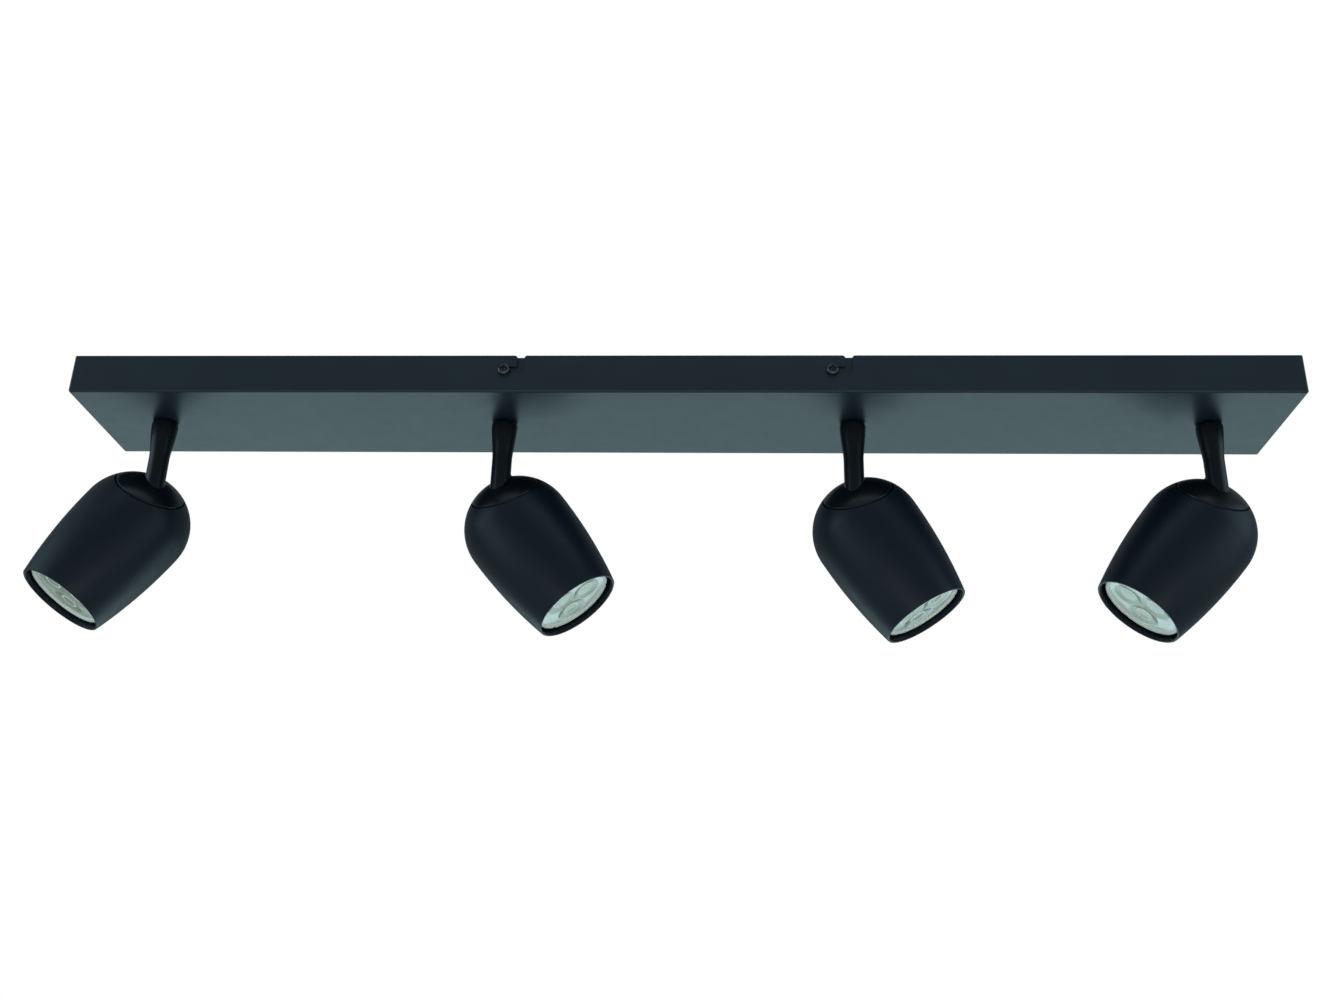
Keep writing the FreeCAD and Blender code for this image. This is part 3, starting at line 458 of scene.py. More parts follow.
class Finish(Enum):
    """The finishes of the bar, each made once."""

    # CANOPY, ARM and HEAD are one satin black coat in three shades: the canopy's colour is painted lighter to
    # stand in for more light falling on it, and the head's and the arm's are painted darker as painted shade
    CANOPY = PowderCoat("powder_coat_canopy_painted_light", "#111C24", "#14232C", (0.365, 0.395))
    ARM = PowderCoat("powder_coat_arm_painted_shade", "#080D12", "#0B1117", (0.26, 0.34), 0.32)
    HEAD = PowderCoat("powder_coat_head_painted_shade", "#09131D", "#0C1824", (0.38, 0.46), 0.3)
    ZINC = ZincPlate()
    SCREW = BlackNickel()
    GROMMET = MouldedPlastic("grommet_rubber", "#1B1B1B", "#242322", (0.6, 0.75), 0.8, 0.02, 1.52)
    NYLON = MouldedPlastic("natural_nylon", "#E8E4D6", "#DCD6C3", (0.4, 0.52), 0.5, 0.01, 1.53, 0.15)
    SLEEVE = MouldedPlastic("crimp_sleeve_vinyl", "#B5342E", "#9E2A26", (0.35, 0.45), 0.7, 0.01)
    LAMP = MouldedPlastic("lamp_housing_white", "#FFFDEE", "#FBF9E8", (0.34, 0.44), 0.5, 0.006, 1.5)
    WHITE_LEAD = Insulation("glass_silicone_sleeve_white", "#E9E8E2", "#DAD8CF")
    BROWN_LEAD = Insulation("pvc_insulation_brown", "#5E3A22", "#4F301C")
    BLUE_LEAD = Insulation("pvc_insulation_blue", "#1F5FA8", "#184F90")
    EARTH_LEAD = Insulation("pvc_insulation_earth", "#4E9A2F", "#428626", "#E9D92F")
    STEATITE = Steatite()
    PINS = NickelBrass()
    LENS = LensPolycarbonate()

    @property
    def material(self) -> bpy.types.Material:
        """The finish's material, made at its first use."""
        return bpy.data.materials.get(self.value.name) or self.value.make()


def dress_node(name: str, finish: Finish) -> None:
    """Gives a carried-over CAD node one of the finishes.

    Args:
        name: the node's name.
        finish: the finish that covers it.
    """
    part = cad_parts[name]
    part.data.materials.clear()
    part.data.materials.append(finish.material)
    LOG.info("dressed %s in %s", name, finish.value.name)


# ---------------------------------------------------------------- mesh helpers

def ring(radius: float, height: float, count: int) -> Ring:
    """Points of a level circle round the Z axis.

    Args:
        radius: radius in millimetres.
        height: height in millimetres.
        count: how many points.

    Returns:
        The points, in metres.
    """
    turns = [2 * math.pi * index / count for index in range(count)]
    return [Vector((radius * math.cos(t), radius * math.sin(t), height)) * MM for t in turns]


def joint_point(centre: Vector, across: float, up: float, along: float) -> Vector:
    """A point given in the joint's own axes, in millimetres from a centre.

    Args:
        centre: where the axes start, in millimetres.
        across: distance along the level axis.
        up: distance up the slope.
        along: distance along the joint's axis.

    Returns:
        The point, in metres.
    """
    return (centre + JOINT_ACROSS * across + JOINT_UP * up + JOINT_AXIS * along) * MM


def joint_ring(centre: Vector, radius: float, along: float, turns: Sequence[float]) -> Ring:
    """Points of a circle square to the joint's axis.

    Args:
        centre: centre of the axes, in millimetres.
        radius: radius in millimetres.
        along: distance of the circle along the axis.
        turns: angle of each point.

    Returns:
        The points, in metres.
    """
    return [joint_point(centre, radius * math.cos(t), radius * math.sin(t), along) for t in turns]


def quarter(
    centre: tuple[float, float], radius: float, start: float, end: float, steps: int
) -> list[tuple[float, float]]:
    """Profile points on an arc.

    Args:
        centre: centre of the arc.
        radius: radius of the arc.
        start: first angle in degrees.
        end: last angle in degrees.
        steps: how many spans the arc has.

    Returns:
        Pairs of radius and height.
    """
    angles = [math.radians(start + (end - start) * step / steps) for step in range(steps + 1)]
    return [(centre[0] + radius * math.cos(a), centre[1] + radius * math.sin(a)) for a in angles]


def skin(
    work: bmesh.types.BMesh, rings: Sequence[Ring], close_first: bool = False, close_last: bool = False
) -> None:
    """Joins rings of equal length by faces.

    Args:
        work: the mesh to add to.
        rings: the rings in order.
        close_first: whether the first ring gets a flat cap.
        close_last: whether the last ring gets a flat cap.
    """
    made = [[work.verts.new(point) for point in points] for points in rings]
    for low, high in zip(made, made[1:]):
        for index in range(len(low)):
            following = (index + 1) % len(low)
            work.faces.new((low[index], low[following], high[following], high[index]))
    if close_first:
        work.faces.new(list(reversed(made[0])))
    if close_last:
        work.faces.new(made[-1])


def piece(
    work: bmesh.types.BMesh, name: str, finish: Finish, place: Matrix | None = None, crease: float = CREASE,
    plan: str | None = None,
) -> bpy.types.Object:
    """Turns a finished mesh into a smooth-shaded object, whose place is in its vertices.

    Args:
        work: the mesh, which is freed.
        name: the object's name.
        finish: its finish.
        place: where the mesh's own frame lies.
        crease: edges sharper than this many degrees stay sharp.
        plan: name of a UV map that keeps each point's own X and Y, in metres.

    Returns:
        The new object.
    """
    bmesh.ops.recalc_face_normals(work, faces=work.faces)
    mesh = bpy.data.meshes.new(name)
    work.to_mesh(mesh)
    work.free()
    mesh.shade_smooth()
    mesh.set_sharp_from_angle(angle=math.radians(crease))
    mesh.materials.append(finish.material)
    if plan:
        layer = mesh.uv_layers.new(name=plan)
        for loop in mesh.loops:
            layer.uv[loop.index].vector = mesh.vertices[loop.vertex_index].co.xy
    mesh.transform(place or Matrix.Identity(4))
    made = bpy.data.objects.new(name, mesh)
    bpy.context.scene.collection.objects.link(made)
    return made


def carve(target: bpy.types.Object, cutters: Sequence[bpy.types.Object], edge: float) -> None:
    """Cuts shapes out of an object, breaks the sharp edges and keeps the result as its mesh.

    Args:
        target: the object to cut.
        cutters: the shapes to take away, which are removed afterwards.
        edge: width of the broken edges in millimetres.
    """
    for cutter in cutters:
        cut = target.modifiers.new("cut", "BOOLEAN")
        cut.operation = "DIFFERENCE"
        cut.solver = "EXACT"
        cut.object = cutter
    bevel = target.modifiers.new("edge", "BEVEL")
    bevel.width = edge * MM
    bevel.segments = 2
    bevel.limit_method = "ANGLE"
    bevel.angle_limit = math.radians(50)
    bevel.use_clamp_overlap = True
    keep_result(target)
    target.data.shade_smooth()
    target.data.set_sharp_from_angle(angle=math.radians(CREASE))
    flat_faces = target.modifiers.new("flat_faces", "WEIGHTED_NORMAL")
    flat_faces.keep_sharp = True
    keep_result(target)
    for cutter in cutters:
        bpy.data.objects.remove(cutter)


def keep_result(target: bpy.types.Object) -> None:
    """Makes the result of an object's modifiers its own mesh."""
    bpy.context.view_layer.update()
    evaluated = target.evaluated_get(bpy.context.evaluated_depsgraph_get())
    mesh = bpy.data.meshes.new_from_object(evaluated)
    target.modifiers.clear()
    target.data = mesh


def prism(outline: Sequence[tuple[float, float]], low: float, high: float, name: str) -> bpy.types.Object:
    """A cutter: an outline in X and Z, in millimetres, that runs along Y.

    Args:
        outline: corners of the outline.
        low: where it starts along Y.
        high: where it ends along Y.
        name: the object's name.

    Returns:
        The cutter.
    """
    work = bmesh.new()
    rings = [[Vector((x, y, z)) * MM for x, z in outline] for y in (low, high)]
    skin(work, rings, close_first=True, close_last=True)
    return piece(work, name, Finish.ZINC)


# ---------------------------------------------------------------- canopy

@dataclass
class Canopy:
    """The folded steel tray that holds everything, with four L-shaped slots in its long walls."""

    length: float = 750
    width: float = 88
    height: float = 25
    sheet: float = 1.0
    fold: float = 1.5
    rim: float = 0.18
    slot_spacing: float = 200
    slot_travel: float = 10
    slot_width: float = 4.5
    slot_flare: float = 1.2
    flare_height: float = 1.0
    screw_drop: float = 10
    pitch: float = 220
    hole_radius: float = 5.1
    post_radius: float = 4
    post_height: float = 4
    post_place: float = -34

    def outline(self, inset: float, height: float, corner: float) -> Ring:
        """Points of a rounded rectangle.

        Args:
            inset: distance inside the tray's outer faces.
            height: height in millimetres.
            corner: corner radius.

        Returns:
            The points, in metres.
        """
        points = []
        half_length = self.length / 2 - inset - corner
        half_width = self.width / 2 - inset - corner
        for x_side, y_side, start in ((1, 1, 0), (-1, 1, 90), (-1, -1, 180), (1, -1, 270)):
            for x, y in quarter((x_side * half_length, y_side * half_width), corner, start, start + 90, 5):
                points.append(Vector((x, y, height)) * MM)
        return points

    def rings(self) -> list[Ring]:
        """Gives the loops from the middle of the underside over the rim to the middle of the floor."""
        outside = [(self.fold - self.fold * math.sin(t), -self.height + self.fold - self.fold * math.cos(t))
                   for t in (math.radians(15 * step) for step in range(7))]
        loops = [self.outline(inset, z, max(self.fold - inset, 0.2)) for inset, z in outside]
        eased = self.rim * 0.3
        loops += [self.outline(0, -self.rim, self.fold), self.outline(eased, -eased, self.fold)]
        loops += [self.outline(self.rim, 0, self.fold), self.outline(self.sheet - self.rim, 0, self.fold / 2)]
        loops += [self.outline(self.sheet, -self.rim, self.fold / 2)]
        inner = self.fold - self.sheet
        for step in range(4):
            turn = math.radians(30 * step)
            inset = self.sheet + inner - inner * math.cos(turn)
            height = -self.height + self.fold - inner * math.sin(turn)
            loops.append(self.outline(inset, height, self.fold / 2))
        return loops

    def slot(self, centre: float) -> list[tuple[float, float]]:
        """Corners of one slot, seen from the front."""
        neck, screw = centre + self.slot_travel / 2, centre - self.slot_travel / 2
        half = self.slot_width / 2
        left, right = neck - half, neck + half
        mouth = [(left - self.slot_flare, 2.0), (left - self.slot_flare, 0.0), (left, -self.flare_height)]
        tongue = [(left, -self.screw_drop + half)]
        end = quarter((screw, -self.screw_drop), half, 90, 270, 12)
        turn = quarter((neck, -self.screw_drop), half, 270, 360, 6)
        flared = right + self.slot_flare
        exit_side = [(right, -self.flare_height), (flared, 0.0), (flared, 2.0)]
        return mouth + tongue + end + turn + exit_side

    def cutters(self) -> list[bpy.types.Object]:
        """Makes the shapes that cut the slots and the arms' holes."""
        made = []
        for side in (-1, 1):
            walls = sorted((side * (self.width / 2 + 2), side * (self.width / 2 - 2)))
            for centre in (-self.slot_spacing / 2, self.slot_spacing / 2):
                made.append(prism(self.slot(centre), *walls, name="slot_cutter"))
        for place in (-1.5, -0.5, 0.5, 1.5):
            work = bmesh.new()
            heights = (-self.height - 2, -self.height + self.sheet + 2)
            skin(work, [ring(self.hole_radius, z, 48) for z in heights], close_first=True, close_last=True)
            bmesh.ops.translate(work, verts=work.verts, vec=Vector((place * self.pitch * MM, 0, 0)))
            made.append(piece(work, "hole_cutter", Finish.ZINC))
        return made

    def post(self) -> bpy.types.Object:
        """Makes the riveted earth post on the floor, with a rolled edge at its top."""
        work = bmesh.new()
        floor = -self.height + self.sheet
        profile = [(self.post_radius + 0.5, floor - 0.3), (self.post_radius + 0.5, floor + 0.1)]
        profile += [(self.post_radius, floor + 0.6)]
        profile += quarter((self.post_radius - 0.4, floor + self.post_height - 0.4), 0.4, 0, 90, 4)
        profile += [(1.95, floor + self.post_height), (1.95, floor + 0.5)]
        skin(work, [ring(r, z, 40) for r, z in profile], close_last=True)
        bmesh.ops.translate(work, verts=work.verts, vec=Vector((0, self.post_place * MM, 0)))
        return piece(work, "earth_post", Finish.ZINC)

    def build(self) -> None:
        """Makes the tray, cuts it and lets it ride on its body."""
        work = bmesh.new()
        skin(work, self.rings(), close_first=True, close_last=True)
        tray = piece(work, "canopy_tray", Finish.CANOPY)
        carve(tray, self.cutters(), 0.12)
        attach(tray, "canopy_body")
        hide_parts("canopy")
        post = self.post()
        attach(post, "canopy_body")
        LOG.info("canopy built")

    def dress(self) -> None:
        """Gives the fixings and the wiring in the tray their finishes."""
        finishes = {
            "ceiling_bracket": Finish.CANOPY, "canopy_screws": Finish.SCREW, "mains_grommet": Finish.GROMMET,
            "terminal_block": Finish.NYLON, "terminal_screws": Finish.ZINC, "earth_screw": Finish.ZINC,
            "lamp_leads": Finish.WHITE_LEAD, "splice_sleeves": Finish.SLEEVE,
            "supply_brown": Finish.BROWN_LEAD, "supply_blue": Finish.BLUE_LEAD,
            "supply_earth": Finish.EARTH_LEAD,
        }
        for name, finish in finishes.items():
            dress_node(name, finish)


# ---------------------------------------------------------------- arms

@dataclass
class Arm:
    """One swivelling arm: a tapered stem on a slanted domed cap, with a threaded spigot at each end."""

    number: int
    turn: float
    place: float
    canopy_height: float = 25
    spigot: float = 5
    spigot_top: float = 7.6
    lower_spigot: float = 9.1
    bore: float = 3
    thread: float = 0.22
    top_radius: float = 8.1
    shoulder: float = 2
    radius: float = 6.2
    taper_start: float = 4
    taper_end: float = 24
    joint_drop: float = 39.5
    pivot_offset: float = 34.5
    ball: float = 34.5
    cap_radius: float = 21.6
    cap_floor: float = 24.1
    cap_edge: float = 0.4
    fillet: float = 2.0
    points: int = 120

    @property
    def matrix(self) -> Matrix:
        """The arm's own frame: under the canopy at its spigot, turned about Z."""
        origin = Vector((self.place, 0, -self.canopy_height)) * MM
        return Matrix.Translation(origin) @ Matrix.Rotation(math.radians(self.turn), 4, "Z")

    @property
    def ball_centre(self) -> Vector:
        """Centre of the ball that the cap completes, in millimetres in the arm's frame."""
        return Vector((0, 0, -self.joint_drop)) - JOINT_AXIS * self.pivot_offset

    @property
    def body(self) -> str:
        """Name of the arm's rigid body."""
        return f"arm_{self.number}_body"

    def threads(self, top: float, bottom: float) -> list[tuple[float, float]]:
        """Profile of a thread of 1 mm pitch between two heights, from the top down."""
        turns = int(top - bottom)
        profile = []
        for index in range(turns):
            height = top - index
            profile += [(self.spigot, height), (self.spigot - self.thread * 2, height - 0.5)]
        return profile + [(self.spigot, bottom)]

    def stem_rings(self) -> list[Ring]:
        """Loops from the upper bore over the spigot and the shoulder down to the end of the taper."""
        profile = [(self.bore, self.spigot_top - 6), (self.bore, self.spigot_top - 0.3)]
        profile += [(self.bore + 0.3, self.spigot_top), (self.spigot - 0.5, self.spigot_top)]
        profile += self.threads(self.spigot_top - 0.5, 0.1)
        edge = self.top_radius - self.shoulder
        profile += [(self.spigot, -0.1)]
        profile += quarter((edge, -0.1 - self.shoulder), self.shoulder, 90, 0, 8)
        profile += [(self.top_radius, -3.2), (self.top_radius, -self.taper_start)]
        for step in range(1, 8):
            share = step / 8
            eased = share * share * (3 - 2 * share) * 0.35 + share * 0.65
            radius = self.top_radius + (self.radius - self.top_radius) * eased
            profile.append((radius, -self.taper_start - (self.taper_end - self.taper_start) * share))
        profile += [(self.radius, -self.taper_end), (self.radius, -self.taper_end - 2), (self.radius, -28.5)]
        return [ring(radius, height, self.points) for radius, height in profile]

    def fillet_rings(self) -> list[Ring]:
        """Loops of the soft flare in which the stem runs out on the dome."""
        centre = self.ball_centre
        loops: list[Ring] = [[] for _ in range(8)]
        for index in range(self.points):
            turn = 2 * math.pi * index / self.points
            out = Vector((math.cos(turn), math.sin(turn), 0))
            level = out * self.radius - Vector((centre.x, centre.y, 0))
            normal = Vector((level.x, level.y, math.sqrt(self.ball ** 2 - level.length_squared)))
            meet = centre + normal
            outward = Vector((out.x, out.y, -normal.dot(out) / normal.z)).normalized()
            reach = self.fillet / math.tan(math.acos(outward.z) / 2)
            above = meet + Vector((0, 0, reach))
            beside = centre + (meet + outward * reach - centre).normalized() * self.ball
            for step, loop in enumerate(loops):
                share = step / (len(loops) - 1)
                bend = above * (1 - share) ** 2 + meet * 2 * share * (1 - share) + beside * share ** 2
                loop.append(bend * MM)
        return loops

    def dome_rings(self, start: Ring) -> list[Ring]:
        """Loops over the dome, from the end of the flare to the rounding of the cap's edge."""
        centre = self.ball_centre
        last = math.asin((self.cap_radius - self.cap_edge) / (self.ball - self.cap_edge))
        loops: list[Ring] = [[] for _ in range(14)]
        for index, point in enumerate(start):
            away = (point / MM - centre).normalized()
            polar = math.acos(away.dot(JOINT_AXIS))
            turn = math.atan2(away.dot(JOINT_UP), away.dot(JOINT_ACROSS))
            drift = math.remainder(2 * math.pi * index / self.points - turn, 2 * math.pi)
            for step, loop in enumerate(loops, start=1):
                share = step / len(loops)
                slant, azimuth = polar + (last - polar) * share, turn + drift * share
                flat = self.ball * math.sin(slant)
                across, up = flat * math.cos(azimuth), flat * math.sin(azimuth)
                loop.append(joint_point(centre, across, up, self.ball * math.cos(slant)))
        return loops

    def cap_rings(self) -> list[Ring]:
        """Loops round the cap's edge, under it and down the lower spigot to its bore."""
        turns = [2 * math.pi * index / self.points for index in range(self.points)]
        middle = self.cap_radius - self.cap_edge
        height = math.sqrt((self.ball - self.cap_edge) ** 2 - middle ** 2)
        start = math.degrees(math.atan2(height, middle))
        profile = quarter((middle, height), self.cap_edge, start, 0, 5)[1:]
        profile += [(self.cap_radius, self.cap_floor + 0.2), (self.cap_radius - 0.2, self.cap_floor)]
        profile += [(self.spigot + 1, self.cap_floor), (self.spigot, self.cap_floor)]
        end = self.cap_floor - self.lower_spigot
        profile += self.threads(self.cap_floor - 0.3, end + 0.5)
        profile += [(self.spigot - 0.5, end), (self.bore, end), (self.bore, end + 6)]
        return [joint_ring(self.ball_centre, radius, along, turns) for radius, along in profile]

    def build(self) -> None:
        """Makes the arm in place of its CAD node."""
        work = bmesh.new()
        flare = self.fillet_rings()
        skin(work, self.stem_rings() + flare + self.dome_rings(flare[-1]) + self.cap_rings())
        made = piece(work, f"arm_{self.number}_turned", Finish.ARM, self.matrix)
        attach(made, self.body)
        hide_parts(f"arm_{self.number}")
        LOG.info("arm %d built", self.number)

    def dress(self) -> None:
        """Gives the nuts, washers and leads of the arm their finishes."""
        dress_node(f"spigot_nuts_{self.number}", Finish.ZINC)
        dress_node(f"spring_washers_{self.number}", Finish.ZINC)
        dress_node(f"arm_leads_{self.number}", Finish.WHITE_LEAD)


# ---------------------------------------------------------------- heads

LENS_CELLS = tuple(math.radians(90 + 120 * index) for index in range(3))
LENS_PLAN = Finish.LENS.value.plan


@dataclass
class Head:
    """One spot head: the drawn steel shell, its lampholder and its lamp."""

    arm: Arm
    turn: float
    radius: float = 34.5
    skirt: float = 312
    mouth: float = 65.3
    wall: float = 1.5
    rim: float = 25.95
    plate_top: float = 24.0
    plate_bottom: float = 21.5
    recess: float = 22.2
    hole: float = 5.1
    lip: float = 0.45
    points: int = 144

    @property
    def matrix(self) -> Matrix:
        """The head's own frame: the centre of its round top, turned about the joint's axis."""
        spin = Matrix.Rotation(math.radians(self.turn), 4, JOINT_AXIS)
        return self.arm.matrix @ Matrix.Translation(self.arm.ball_centre * MM) @ spin

    @property
    def body(self) -> str:
        """Name of the head's rigid body."""
        return f"head_{self.arm.number}_body"

    def skirt_radius(self, drop: float, inset: float) -> float:
        """Radius of the skirt at a depth below the round top's centre, inset by part of the wall."""
        return self.radius - self.skirt + math.sqrt((self.skirt - inset) ** 2 - drop ** 2)

    def shell_profile(self, inset: float, lowest: float) -> list[tuple[float, float]]:
        """Radius and height along the skirt and the round top, from the mouth up to near the pole."""
        drops = [lowest * (1 - step / 16) for step in range(16)]
        profile = [(self.skirt_radius(drop, inset), -drop) for drop in drops]
        return profile + quarter((0, 0), self.radius - inset, 0, 89.4, 40)

    def cut_skin(self, profile: list[tuple[float, float]], level: float) -> bmesh.types.BMesh:
        """Makes a round skin and cuts it off square to the joint's axis.

        Args:
            profile: radius and height, from the mouth up.
            level: where along the joint's axis it ends.

        Returns:
            The cut mesh.
        """
        work = bmesh.new()
        skin(work, [ring(radius, height, self.points) for radius, height in profile], close_last=True)
        bmesh.ops.bisect_plane(
            work, geom=work.verts[:] + work.edges[:] + work.faces[:], plane_co=JOINT_AXIS * level * MM,
            plane_no=JOINT_AXIS, clear_outer=True, dist=1e-7,
        )
        return work

    def border_turns(self, work: bmesh.types.BMesh, level: float) -> list[tuple[float, bmesh.types.BMVert]]:
        """Finds the corners of the cut and sorts them by their angle round the joint's axis."""
        found = []
        for vert in work.verts:
            if abs(vert.co.dot(JOINT_AXIS) - level * MM) < 2e-6:
                found.append((math.atan2(vert.co.dot(JOINT_UP), vert.co.dot(JOINT_ACROSS)), vert))
        return sorted(found, key=lambda item: item[0])

    def add_joint_seat(self, work: bmesh.types.BMesh, level: float) -> None:
        """Continues the cut with the rounded rim, the recess for the arm's cap and the plate below it.

        Args:
            work: the outer skin, cut at the level.
            level: where along the joint's axis the skin ends.
        """
        border = self.border_turns(work, level)
        rim_radius = math.sqrt(self.radius ** 2 - self.rim ** 2)
        profile = [(rim_radius + 0.1, self.rim - 0.06), (rim_radius - 0.05, self.rim)]
        profile += [(self.recess + 0.3, self.rim), (self.recess + 0.08, self.rim - 0.06)]
        profile += [(self.recess, self.rim - 0.25), (self.recess, self.plate_top + 0.3)]
        profile += [(self.recess - 0.3, self.plate_top), (self.hole + 0.3, self.plate_top)]
        profile += [(self.hole, self.plate_top - 0.3), (self.hole, self.plate_bottom)]
        profile += [(self.radius - self.wall - 8.2, self.plate_bottom)]
        last = [vert for _, vert in border]
        centre = Vector((0, 0, 0))
        for radius, along in profile:
            points = joint_ring(centre, radius, along, [turn for turn, _ in border])
            made = [work.verts.new(point) for point in points]
            for index in range(len(made)):
                following = (index + 1) % len(made)
                work.faces.new((last[index], last[following], made[following], made[index]))
            last = made

    def build_shell(self) -> None:
        """Makes the shell with its rolled lip, in place of its CAD node."""
        level = self.rim - 0.2
        outside = self.shell_profile(0, self.mouth - self.lip)
        outer = self.cut_skin(outside, level)
        self.add_joint_seat(outer, level)
        inside = self.shell_profile(self.wall, self.mouth - self.lip)
        inner = self.cut_skin(inside, self.plate_bottom)
        lip_outer, lip_inner = outside[0][0], inside[0][0]
        lip = [(lip_outer, -self.mouth + self.lip)]
        lip += [(lip_outer - self.lip * (1 - math.cos(t)), -self.mouth + self.lip * (1 - math.sin(t)))
                for t in (math.radians(30), math.radians(60), math.radians(90))]
        lip += [(lip_inner + self.lip * (1 - math.cos(t)), -self.mouth + self.lip * (1 - math.sin(t)))
                for t in (math.radians(90), math.radians(60), math.radians(30), 0)]
        skin(outer, [ring(radius, height, self.points) for radius, height in lip])
        scratch = bpy.data.meshes.new("inner_skin")
        inner.to_mesh(scratch)
        inner.free()
        outer.from_mesh(scratch)
        bpy.data.meshes.remove(scratch)
        bmesh.ops.remove_doubles(outer, verts=outer.verts, dist=2e-7)
        made = piece(outer, f"head_{self.arm.number}_shell", Finish.HEAD, self.matrix)
        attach(made, self.body)
        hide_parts(f"head_shell_{self.arm.number}")

    def dress(self) -> None:
        """Gives the bridge, the holder and the leads in the head their finishes."""
        number = self.arm.number
        finishes = {
            "holder_bridge": Finish.ZINC, "holder_screws": Finish.ZINC, "lampholder": Finish.STEATITE,
            "holder_leads": Finish.WHITE_LEAD, "lamp_pins": Finish.PINS,
        }
        for name, finish in finishes.items():
            dress_node(f"{name}_{number}", finish)

    def build(self) -> None:
        """Makes the head's shell and lamp."""
        self.build_shell()
        Lamp(self).build()
        LOG.info("head %d built", self.arm.number)


@dataclass
class Lamp:
    """A reflector lamp with a white housing and a three-cell lens."""

    head: Head
    face: float = -61.4
    base: float = -16.4
    radius: float = 25
    rim: float = 5
    neck: float = 13.5
    neck_length: float = 9
    lens_radius: float = 22.5
    bevel: float = 0.7
    lens_sink: float = 0.7
    dome_radius: float = 5.2
    dome_height: float = 0.5
    lens_edge: float = 1.3
    rib_depth: float = 1.3
    points: int = 144

    def housing_rings(self) -> list[Ring]:
        """Loops from the neck down the cup and over the rim to the lens's seat, with notches in the rim."""
        profile = [(self.neck - 0.6, self.base), (self.neck, self.base - 0.6)]
        neck_end = self.base - self.neck_length
        profile += [(self.neck, neck_end), (self.neck + 0.6, neck_end - 0.8)]
        profile += [(self.radius - 0.6, self.face + self.rim + 1), (self.radius, self.face + self.rim)]
        profile += [(self.radius, self.face + self.bevel + 0.1)]
        profile += quarter((self.radius - self.bevel, self.face + self.bevel), self.bevel, 0, -90, 4)
        profile += [(self.lens_radius + 0.35, self.face), (self.lens_radius + 0.1, self.face + 0.08)]
        profile += [(self.lens_radius, self.face + 0.3), (self.lens_radius, self.face + 1.6)]
        loops = [ring(radius, height, self.points) for radius, height in profile]
        for loop in loops[6:12]:
            for notch in (0, 48, 96):
                for index in (notch, notch + 1):
                    loop[index] = Vector((loop[index].x * 0.968, loop[index].y * 0.968, loop[index].z))
        return loops

    def lens_height(self, x: float, y: float) -> float:
        """Height of the lens over its seat: a dome in each dished cell, and ribs between the cells."""
        cell_offset, cell_radius = Finish.LENS.value.cell_offset, Finish.LENS.value.cell_radius
        away = min(
            math.hypot(x - cell_offset * math.cos(t), y - cell_offset * math.sin(t)) for t in LENS_CELLS
        )
        dish = self.rib_depth * min((away / cell_radius) ** 2, 1.0)
        dome = self.dome_height * max(0.0, 1 - (away / self.dome_radius) ** 2)
        return dish + dome

    def build_lens(self) -> None:
        """Makes the moulded lens from evenly spaced rings, with a level edge where it is seated."""
        work = bmesh.new()
        radii = [self.lens_radius * step / 44 for step in range(44, 0, -1)]
        top = self.face + self.lens_sink + self.rib_depth
        flat_from = 21.2
        rings = [ring(self.lens_radius, top + 0.4, self.points)]
        for radius in radii:
            loop = []
            for point in ring(radius, 0, self.points):
                height = self.lens_height(point.x / MM, point.y / MM)
                edge = max(0.0, (radius - flat_from) / self.lens_edge)
                height = height * (1 - edge) + self.rib_depth * edge
                loop.append(Vector((point.x, point.y, (top - height) * MM)))
            rings.append(loop)
        skin(work, rings, close_last=True)
        made = piece(work, f"lamp_{self.head.arm.number}_lens", Finish.LENS, self.head.matrix, 60, LENS_PLAN)
        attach(made, self.head.body)
        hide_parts(f"lamp_lens_{self.head.arm.number}")

    def build(self) -> None:
        """Makes the housing and the lens in place of their CAD nodes."""
        work = bmesh.new()
        skin(work, self.housing_rings(), close_first=True, close_last=True)
        made = piece(work, f"lamp_{self.head.arm.number}_housing", Finish.LAMP, self.head.matrix)
        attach(made, self.head.body)
        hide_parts(f"lamp_body_{self.head.arm.number}")
        self.build_lens()


# ---------------------------------------------------------------- studio

@dataclass(frozen=True)
class Softbox:
    """A rectangular soft light that looks at a point of the object."""

    name: str
    place: tuple[float, float, float]
    target: tuple[float, float, float]
    size: tuple[float, float]
    power: float
    shade: str = "#FFFFFF"

    def build(self) -> None:
        """Hangs the light and aims it."""
        lamp = bpy.data.lights.new(self.name, "AREA")
        lamp.shape = "RECTANGLE"
        lamp.size, lamp.size_y = self.size
        lamp.energy = self.power
        lamp.color = linear(self.shade)[:3]
        made = bpy.data.objects.new(self.name, lamp)
        bpy.context.scene.collection.objects.link(made)
        made.visible_camera = False
        made.location = self.place
        aim = Vector(self.target) - Vector(self.place)
        made.rotation_euler = aim.to_track_quat("-Z", "Y").to_euler()


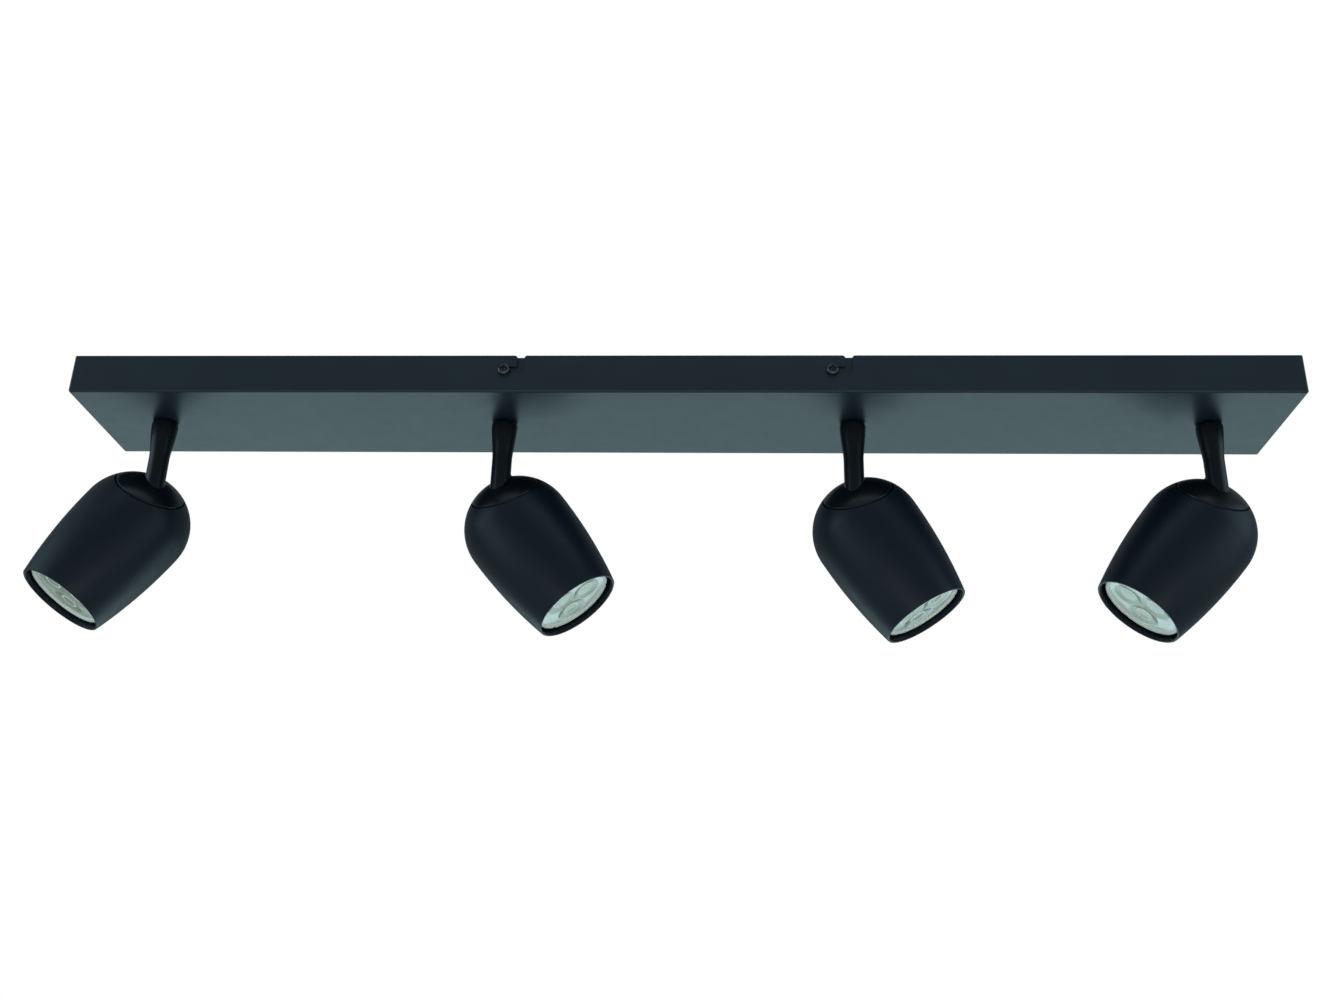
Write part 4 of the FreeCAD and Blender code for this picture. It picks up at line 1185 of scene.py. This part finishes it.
@dataclass
class Studio:
    """A white room: pale floor far below, white surroundings, soft lights and the camera."""

    eye: tuple[float, float, float] = (0.036, -0.7845, -0.4133)
    yaw: float = 3.05
    pitch: float = 23.16
    roll: float = 1.46
    focal_length: float = 37.35
    floor_drop: float = 0.75

    def camera(self) -> None:
        """Sets the camera below the bar in front, looking up at it."""
        lens = bpy.data.cameras.new("camera")
        lens.sensor_width = 36
        lens.lens = self.focal_length
        lens.clip_start = 0.01
        made = bpy.data.objects.new("camera", lens)
        bpy.context.scene.collection.objects.link(made)
        yaw, pitch, roll = (math.radians(angle) for angle in (self.yaw, self.pitch, self.roll))
        forward = Vector((-math.sin(yaw) * math.cos(pitch), math.cos(yaw) * math.cos(pitch), math.sin(pitch)))
        level = Vector((math.cos(yaw), math.sin(yaw), 0))
        upward = level.cross(forward)
        right = level * math.cos(roll) + upward * math.sin(roll)
        top = upward * math.cos(roll) - level * math.sin(roll)
        turn = Matrix((right, top, -forward)).transposed().to_4x4()
        made.matrix_world = Matrix.Translation(Vector(self.eye)) @ turn
        bpy.context.scene.camera = made

    def surroundings(self) -> None:
        """Makes the white background, which lights the object less strongly than it looks."""
        world = bpy.data.worlds.new("white_room")
        world.use_nodes = True
        tree = world.node_tree
        tree.nodes.clear()
        path = add_node(tree, "ShaderNodeLightPath")
        seen = add_node(tree, "ShaderNodeBackground", {"Color": linear("#FFFFFF"), "Strength": 1.0})
        lit = add_node(tree, "ShaderNodeBackground", {"Color": linear("#C9DFEA"), "Strength": 0.3})
        mixed = add_node(
            tree, "ShaderNodeMixShader",
            links={0: path.outputs["Is Camera Ray"], 1: lit.outputs[0], 2: seen.outputs[0]},
        )
        add_node(tree, "ShaderNodeOutputWorld", links={"Surface": mixed.outputs[0]})
        bpy.context.scene.world = world
        bpy.context.scene.view_settings.view_transform = "Standard"

    def floor(self) -> None:
        """Lays a pale painted floor far below the bar."""
        work = bmesh.new()
        bmesh.ops.create_grid(work, x_segments=24, y_segments=24, size=4.0)
        bmesh.ops.translate(work, verts=work.verts, vec=Vector((0, 0, -self.floor_drop)))
        made = piece(work, "floor", Finish.LAMP)
        made.data.materials.clear()
        surface = Surface("painted_floor", {"IOR": 1.45})
        surface.paint(surface.blend(surface.noise(400, 2), "#F4F4F2", "#EFEFED"))
        surface.roughen(surface.between(surface.noise(60, 2), 0.7, 0.8))
        surface.emboss(surface.noise(4, 2), 0.05, 0.3)
        made.data.materials.append(surface.material)

    def build(self) -> None:
        """Sets up the camera, the surroundings and the lights."""
        self.camera()
        self.surroundings()
        self.floor()
        boxes = (
            Softbox("left_box", (-1.5, -0.5, 0.1), (0, 0, -0.08), (1.2, 1.2), 7, "#BFDCEE"),
            Softbox("right_box", (1.5, -0.4, 0.1), (0, 0, -0.08), (1.2, 1.2), 5.5, "#BFDCEE"),
            Softbox("low_front_box", (0.1, -1.1, -0.7), (0, 0, -0.1), (1.8, 0.5), 4.8, "#F2F8F2"),
            Softbox("low_back_box", (0.0, 0.9, -0.62), (0, 0, -0.03), (2.2, 0.7), 8.3, "#B8DDE2"),
            Softbox("top_box", (0.0, -0.6, 1.1), (0, 0, -0.05), (1.6, 0.8), 5, "#C4DFF0"),
        )
        for box in boxes:
            box.build()
        LOG.info("studio ready")


def main() -> None:
    """Builds the bar and its studio, piece by piece."""
    logging.basicConfig(level=logging.INFO, format="%(name)s: %(message)s")
    Studio().build()
    canopy = Canopy()
    canopy.build()
    canopy.dress()
    settings = ((1, 44, -44), (2, -25, 54.5), (3, -23, 44), (4, 19, -57))
    for number, arm_turn, head_turn in settings:
        arm = Arm(number, arm_turn, canopy.pitch * (number - 2.5))
        arm.build()
        arm.dress()
        head = Head(arm, head_turn)
        head.build()
        head.dress()


if __name__ == "__main__":
    main()
